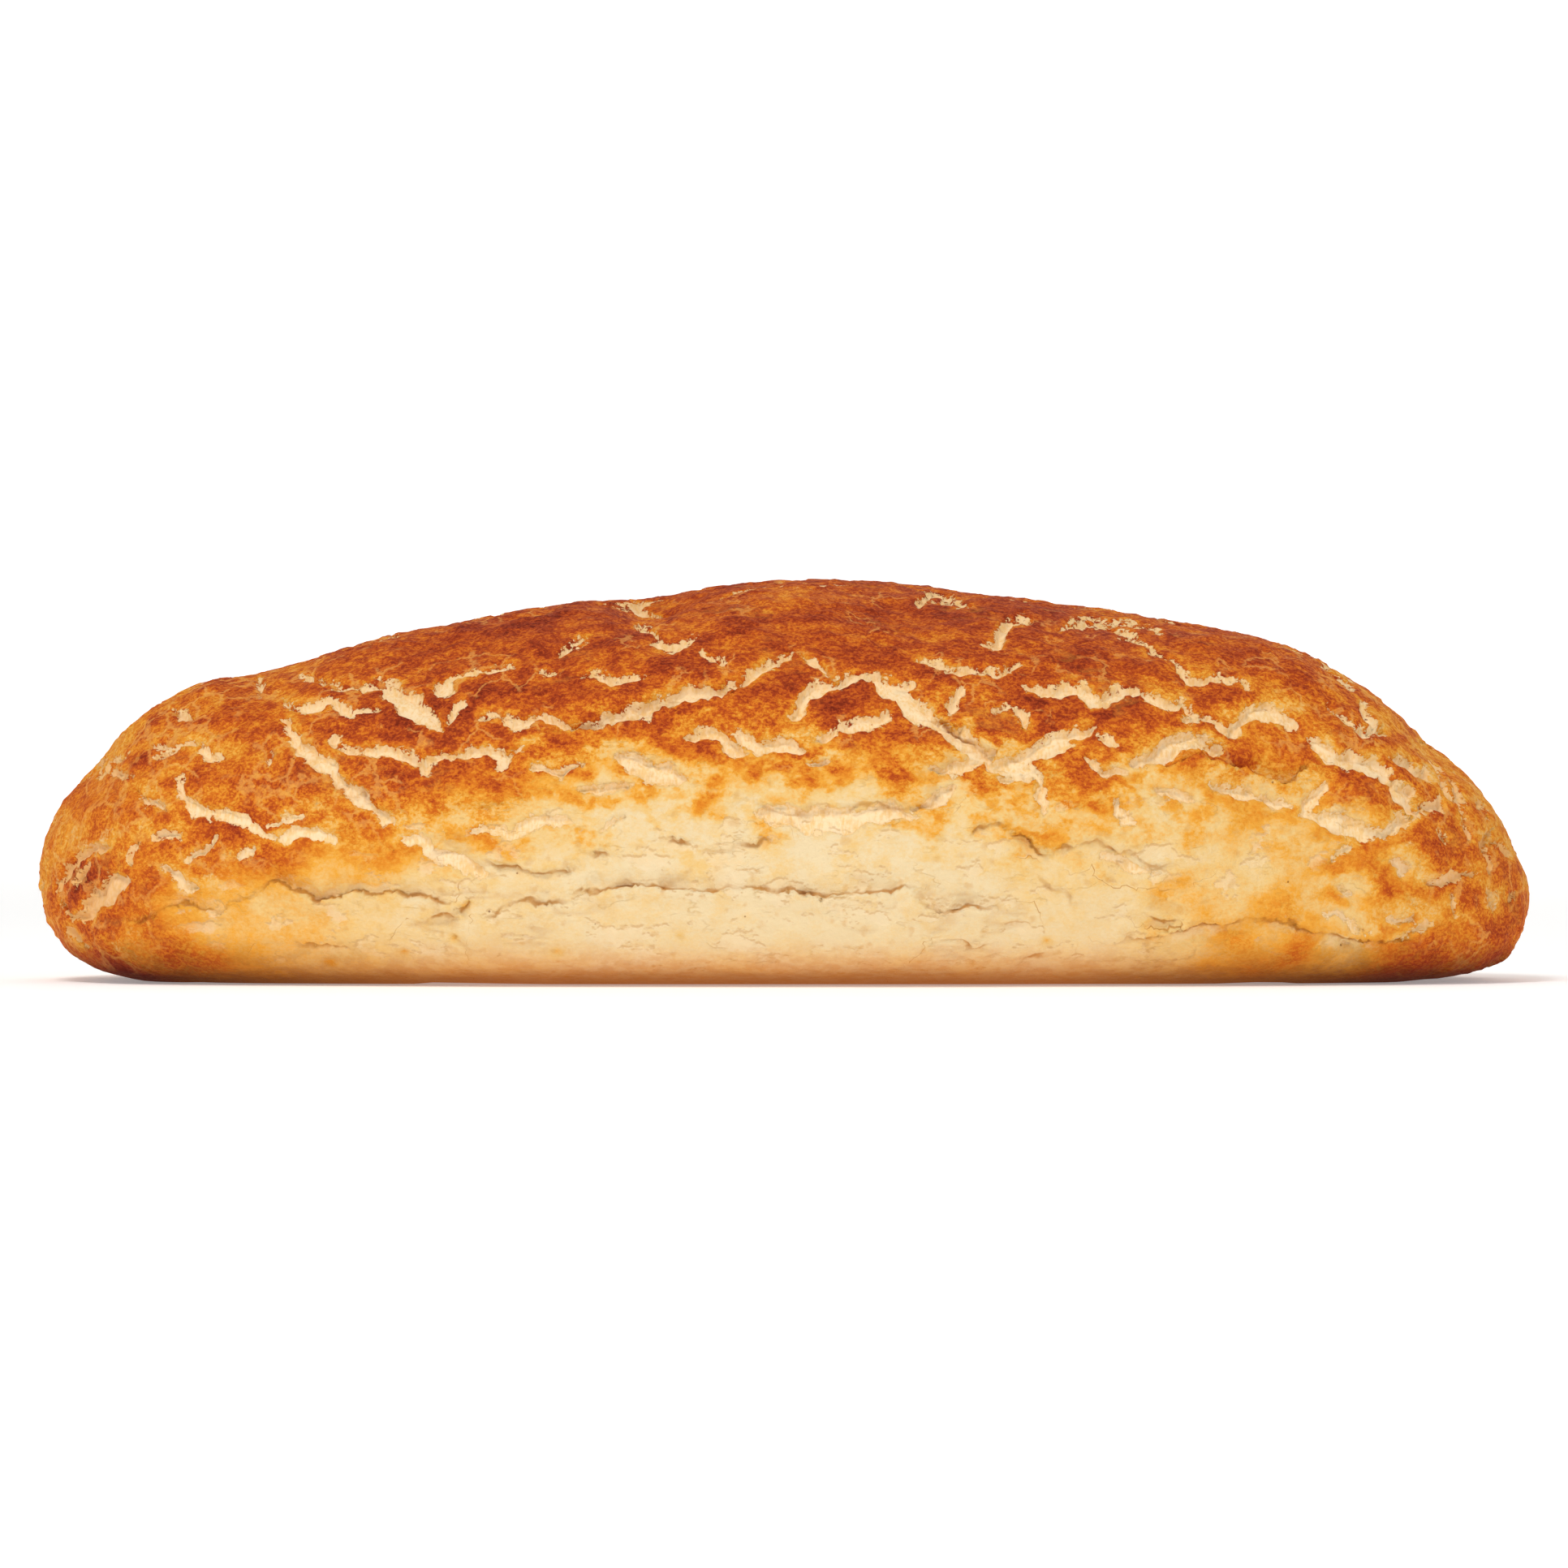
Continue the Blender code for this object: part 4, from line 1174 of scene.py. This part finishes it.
def peeling(tree, millimetres, kept, pale, noise):
    z = add(tree, "split", [millimetres], 2)
    more = add(tree, "multiply_add", [kept["peeled"], 0.085, -0.015])
    peel = []
    for higher in (0.0, PEEL_SHADOW):
        drawn = add(tree, "vector_add", [millimetres, (0.0, 0.0, higher)])
        drawn = add(tree, "vector_multiply", [drawn, (0.55, 1.0, 1.0)])
        patch = add(tree, "noise", [drawn, *NOISES["peeling"]])
        patch = add(tree, "add", [patch, more])
        peel.append(add(tree, "smooth", [patch, 0.56, 0.6]))
    scuff, edge = peel
    # the upper edge of each peel, which gets a painted shadow
    edge = add(tree, "subtract", [scuff, edge], use_clamp=True)
    low = add(tree, "smooth", [z, 36.0, 48.0, 0.5, 0.0])
    off_foot = add(tree, "smooth", [z, 3.0, 10.0])
    fibrous = add(tree, "range", [noise["fleck"], 0.4, 0.58, 0.25, 0.9])
    for share in (low, off_foot, fibrous, pale):
        scuff = add(tree, "multiply", [scuff, share])
    for share in (low, pale):
        edge = add(tree, "multiply", [edge, share])
    return scuff, edge


def hairlines(tree, millimetres, pale):
    """Cracks finer than the mesh can show: where a noise passes its middle, in some places only."""
    drawn = add(tree, "vector_multiply", [millimetres, (0.4, 1.0, 1.0)])
    hair = add(tree, "noise", [drawn, *NOISES["hairlines"]])
    hair = add(tree, "subtract", [hair, 0.5])
    hair = add(tree, "absolute", [hair])
    hair = add(tree, "smooth", [hair, 0.003, 0.022, 0.26, 0.0])
    here = add(tree, "noise", [millimetres, *NOISES["places with hairlines"]])
    here = add(tree, "smooth", [here, 0.51, 0.64])
    for share in (here, pale):
        hair = add(tree, "multiply", [hair, share])
    return hair


def tear_marks(tree, kept, brown, pale, noise):
    """Torn, dull skin with painted shade beside a tear, and painted dark shade in the slit."""
    # torn dull skin beside a tear, with painted shade in the sunken band
    torn_skin_and_shade = add(tree, "smooth", [kept["tear"], 0.0, -0.4])
    shares = [
        add(tree, "smooth", [kept["tear"], -1.6, -2.8, 0.6, 0.0]),
        add(tree, "smooth", [kept["torn"], 0.2, 0.9]),
        add(tree, "smooth", [noise["fleck"], 0.42, 0.56]),
        pale,
    ]
    for share in shares:
        torn_skin_and_shade = add(tree, "multiply", [torn_skin_and_shade, share])
    # the slit's dark colour is painted shade
    off = add(tree, "add", [kept["tear"], 0.15])
    off = add(tree, "absolute", [off])
    slit = add(tree, "smooth", [off, 0.1, 0.8, 0.8, 0.0])
    any_tear = add(tree, "smooth", [kept["torn"], 0.1, 0.7])
    slit = add(tree, "multiply", [slit, any_tear])
    burnt = add(tree, "smooth", [brown, 0.3, 0.6])
    painted_slit_shade = {0: burnt, 6: COLOURS["painted shade of a slit in dough"], 7: COLOURS["painted shade of a slit in crust"]}
    return torn_skin_and_shade, slit, add(tree, "blend", painted_slit_shade, 2)


def dots(tree, millimetres, pale):
    """Soft pores about 2 mm wide, and a few burnt specks about half a millimetre wide."""
    loose = add(tree, "noise", [millimetres, *NOISES["loose"]], "Color")
    loose = add(tree, "vector_multiply_add", [loose, PORE_STRAY, millimetres])
    pore = {"Vector": loose, "Scale": PORE_CELLS, "Randomness": 1.0}
    pore = add(tree, "cells", pore)
    pore = add(tree, "smooth", [pore, 0.08, 0.27, 0.38, 0.0])
    pore = add(tree, "multiply", [pore, pale])
    speck = {"Vector": millimetres, "Scale": SPECK_CELLS, "Randomness": 1.0}
    speck = add(tree, "cells", speck)
    return pore, add(tree, "smooth", [speck, 0.016, 0.028, 0.7, 0.0])


def marks(tree, millimetres, kept, colour, brown, noise):
    pale = add(tree, "smooth", [brown, 0.3, 0.5, 1.0, 0.0])
    scuff, edge = peeling(tree, millimetres, kept, pale, noise)
    wrinkle = add(tree, "multiply", [kept["wrinkle"], 0.3])
    hair = hairlines(tree, millimetres, pale)
    torn_skin_and_shade, slit, painted_slit_shade = tear_marks(tree, kept, brown, pale, noise)
    pore, speck = dots(tree, millimetres, pale)
    layers = [
        (scuff, COLOURS["peeled"]),
        (edge, COLOURS["painted shadow along a peel"]),
        (wrinkle, COLOURS["wrinkle"]),
        (hair, COLOURS["hairline"]),
        (torn_skin_and_shade, COLOURS["torn skin and painted shade beside a tear"]),
        (slit, painted_slit_shade),
        (pore, COLOURS["pore"]),
        (speck, COLOURS["speck"]),
    ]
    for share, over in layers:
        colour = add(tree, "blend", {0: share, 6: colour, 7: over}, 2)
    return colour, scuff, hair


# %% [markdown]
# The baking tray is hotter than the air, so the last few millimetres above it are toasted brown, and
# nearly burnt where the two ends turn under. This darkening is also partly painted contact shade,
# where the loaf meets the table.


# %% The toasted foot, partly painted contact shade
def toasted_and_shaded_foot(tree, millimetres, colour, at_end, noise):
    z = add(tree, "split", [millimetres], 2)
    low = add(tree, "multiply_add", [noise["fleck_up_down"], 1.6, z])
    most = add(tree, "multiply_add", [at_end, 0.1, 0.85])
    # darker towards the table: toasting, and partly painted contact shade
    foot = add(tree, "smooth", [low, -0.5, 11.0, most, 0.0])
    outer = add(tree, "range", [at_end, 0.05, 0.75])
    toast_and_shade = add(tree, "blend", {0: outer, 6: COLOURS["toast and painted contact shade"], 7: COLOURS["burnt"]}, 2)
    return add(tree, "blend", {0: foot, 6: colour, 7: toast_and_shade}, 2)


# %% [markdown]
# The material's own relief is too fine for the mesh: the grain of dry paste, under a millimetre wide,
# and the threads of torn crumb. The surface is matt, so its gloss is weak.

# %% Baked crust
# What the points of the skin carry for the material.
KEPT = ("crack", "tear", "torn", "rise", "wrinkle", "below", "tone", "peeled")
BUMP_HEIGHT = 0.0006  # metres, at a height of one
BUMP_STRENGTH = 0.6


def bump_height(tree, millimetres, brown, is_crust, threads, scuff, hair, noise):
    dry = add(tree, "smooth", [brown, 0.25, 0.6, 0.3, 1.0])
    dry = add(tree, "multiply", [dry, is_crust])
    height = add(tree, "multiply", [noise["grain"], dry])
    crumb = add(tree, "subtract", [1.0, is_crust])
    crumb = add(tree, "multiply", [crumb, threads])
    skin = add(tree, "noise", [millimetres, *NOISES["skin"]])
    parts = [(noise["fleck"], 0.8), (crumb, 0.25), (is_crust, 0.5), (skin, 1.1)]
    parts += [(scuff, -0.6), (hair, -1.0)]
    for part, share in parts:
        height = add(tree, "multiply_add", [part, share, height])
    return height


def baked_crust():
    material = bpy.data.materials.new("baked_rice_paste_crust")
    material.use_nodes = True
    tree = material.node_tree
    shader = tree.nodes["Principled BSDF"]
    where = add(tree, "ShaderNodeTexCoord", output="Object")
    millimetres = add(tree, "vector_scale", {0: where, "Scale": 1000.0})
    kept = {n: add(tree, "ShaderNodeAttribute", output="Fac", attribute_name=n) for n in KEPT}
    brown, craze, at_end, noise = browning(tree, millimetres, kept)
    colour, is_crust, threads = crust_colour(tree, millimetres, kept, brown, craze, noise)
    colour, scuff, hair = marks(tree, millimetres, kept, colour, brown, noise)
    colour = toasted_and_shaded_foot(tree, millimetres, colour, at_end, noise)
    height = bump_height(tree, millimetres, brown, is_crust, threads, scuff, hair, noise)
    bump = {"Height": height, "Distance": BUMP_HEIGHT, "Strength": BUMP_STRENGTH}
    bump = add(tree, "ShaderNodeBump", bump)
    rough = add(tree, "smooth", [noise["grain"], 0.3, 0.7, 0.66, 0.84])
    for name, socket in {"Base Color": colour, "Normal": bump, "Roughness": rough}.items():
        tree.links.new(socket, shader.inputs[name])
    shader.inputs["IOR"].default_value = 1.45
    shader.inputs["Specular IOR Level"].default_value = 0.09
    return material


crust_material = baked_crust()
print("crust material:", len(crust_material.node_tree.nodes), "nodes")

# %% [markdown]
# The skin takes the relief, and is then thinned where it is flat, because a piece may have no more
# than 200,000 triangles.

# %% Apply the relief
MOST_TRIANGLES = 196000


def add_relief(skin):
    tree = relief_tree()
    modifier = skin.modifiers.new("relief", "NODES")
    modifier.node_group = tree
    values = {"Crack Lines": cracks, "Tear Lines": tears}
    values |= {"Crust": crust_material, "Seed": RELIEF_SEED} | RELIEF_SIZES
    for socket in tree.interface.items_tree:
        if socket.in_out == "INPUT" and socket.name in values:
            modifier[socket.identifier] = values[socket.name]
    applied(skin)
    thin = skin.modifiers.new("spend_faces_at_edges", "DECIMATE")
    triangles = sum(len(face.vertices) - 2 for face in skin.data.polygons)
    thin.ratio = MOST_TRIANGLES / triangles
    applied(skin)
    skin.data.shade_smooth()
    return triangles


before = add_relief(crust)
print(f"relief made on {before} triangles, kept {len(crust.data.polygons)} faces")

# %% [markdown]
# Last, everything below the table is laid flat on it, the rim of the foot is lifted a little in
# places, as the tray's heat lifts it, and the loaf is brought back to its own length, width and
# height, which the relief has changed by a fraction of a millimetre.

# %% Bring the crust to size
FOOT_GAP = 0.0016
FOOT_WAVE = 0.03
FOOT_SEED = 11
OUTER_FOOT = (0.35, 0.6)  # from the middle of the foot, 0, to the loaf's outline, 1


def lift_foot(points):
    """Lifts the rim of the flat foot off the tray in places, by up to FOOT_GAP."""
    shares = np.abs(points[:, :2] / (0.5 * LENGTH, 0.5 * WIDTH)) ** PLAN_POWER
    gap = waves(points * (1.0, 1.0, 0.0), FOOT_WAVE, FOOT_SEED)
    gap = FOOT_GAP * smooth_step(gap, 0.0, 1.1) * smooth_step(shares.sum(axis=1), *OUTER_FOOT)
    points[:, 2] = np.maximum(points[:, 2], gap)


def to_size(piece):
    points = read(piece.data.vertices, "co")
    points[:, 2] = np.maximum(points[:, 2], 0.0)
    lift_foot(points)
    low, high = points.min(axis=0), points.max(axis=0)
    middle = 0.5 * (low + high)
    middle[2] = low[2]
    points = (points - middle) * (np.array([LENGTH, WIDTH, HEIGHT]) / (high - low))
    points[:, 2] += LOW[2]
    piece.data.vertices.foreach_set("co", points.ravel())
    piece.data.update()


to_size(crust)
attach(crust, "root")
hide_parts("loaf")

# %% [markdown]
# ## Table and light
# The photograph has a white ground and soft light from all round. A wide pale disc whose rim curls up
# far away gives one ground from every side, with no horizon in view. A weak glow of its own, stronger
# far away, keeps it as pale as the photograph's.

# %% Pale ground
FLAT_RADIUS = 3.5
RIM_RADIUS = 3.0
RIM_STEP, ROUND_PIECES = 6, 96  # degrees of the curl to each ring, and pieces of each ring
GROUND_DROP = 0.0002  # how far it stays clear of the loaf


def ground_paint():
    paint = bpy.data.materials.new("matt_white_paint")
    paint.use_nodes = True
    tree = paint.node_tree
    shader = tree.nodes["Principled BSDF"]
    shader.inputs["Base Color"].default_value = linear("f7f6f4")
    shader.inputs["Roughness"].default_value = 0.9
    shader.inputs["Emission Color"].default_value = linear("ffffff")
    where = add(tree, "ShaderNodeTexCoord", output="Object")
    away = add(tree, "vector_length", [where], "Value")
    glow = add(tree, "smooth", [away, 0.6, 3.5, 0.25, 0.7])
    high = add(tree, "split", [where], 2)
    high = add(tree, "smooth", [high, 0.9, 1.8, 1.0, 0.0])
    glow = add(tree, "multiply", [glow, high])
    tree.links.new(glow, shader.inputs["Emission Strength"])
    # The glow only lightens the picture's ground, so no time goes into treating it as a lamp.
    paint.cycles.emission_sampling = "NONE"
    return paint


def make_floor():
    shape = bmesh.new()
    turns = [math.radians(angle) for angle in range(0, 91, RIM_STEP)]
    profile = [(0.0, 0.0)]
    profile += [
        (FLAT_RADIUS + RIM_RADIUS * math.sin(t), RIM_RADIUS * (1 - math.cos(t))) for t in turns
    ]
    points = [shape.verts.new((radius, 0.0, height)) for radius, height in profile]
    edges = [shape.edges.new(pair) for pair in zip(points, points[1:])]
    turned = {"axis": (0, 0, 1), "angle": 2 * math.pi, "steps": ROUND_PIECES, "use_merge": True}
    bmesh.ops.spin(shape, geom=points + edges, **turned)
    bmesh.ops.remove_doubles(shape, verts=shape.verts, dist=1e-6)
    bmesh.ops.recalc_face_normals(shape, faces=shape.faces)
    mesh = bpy.data.meshes.new("pale_ground")
    shape.to_mesh(mesh)
    shape.free()
    mesh.shade_smooth()
    floor = bpy.data.objects.new("pale_ground", mesh)
    bpy.context.scene.collection.objects.link(floor)
    floor.location.z = LOW[2] - GROUND_DROP
    mesh.materials.append(ground_paint())
    return floor


make_floor()

# %% [markdown]
# One large soft lamp at the upper left gives the light its direction. The others and the pale world
# only keep the shadows soft, as in the photograph.

# %% Soft lights
# Place, diameter of the disc and watts.
LIGHTS = {
    "key": ((-0.6, -1.2, 2.0), 0.8, 25.0),
    "fill": ((1.3, -1.4, 0.9), 1.6, 3.0),
    "top": ((0.0, 0.2, 1.9), 1.6, 3.0),
    "back": ((0.4, 1.7, 1.3), 1.6, 6.0),
}
ROOM_LIGHT = 0.3

for name, (place, size, watts) in LIGHTS.items():
    data = bpy.data.lights.new(name, "AREA")
    data.shape = "DISK"
    data.size = size
    data.energy = watts
    lamp = bpy.data.objects.new(name, data)
    lamp.location = place
    lamp.rotation_euler = (-Vector(place)).to_track_quat("-Z", "Y").to_euler()
    bpy.context.scene.collection.objects.link(lamp)

world = bpy.data.worlds.new("soft_room")
world.use_nodes = True
world.node_tree.nodes["Background"].inputs["Color"].default_value = (1.0, 1.0, 1.0, 1.0)
world.node_tree.nodes["Background"].inputs["Strength"].default_value = ROOM_LIGHT
bpy.context.scene.world = world
bpy.context.scene.view_settings.view_transform = "Standard"
print(f"{len(LIGHTS)} lamps and a pale room")
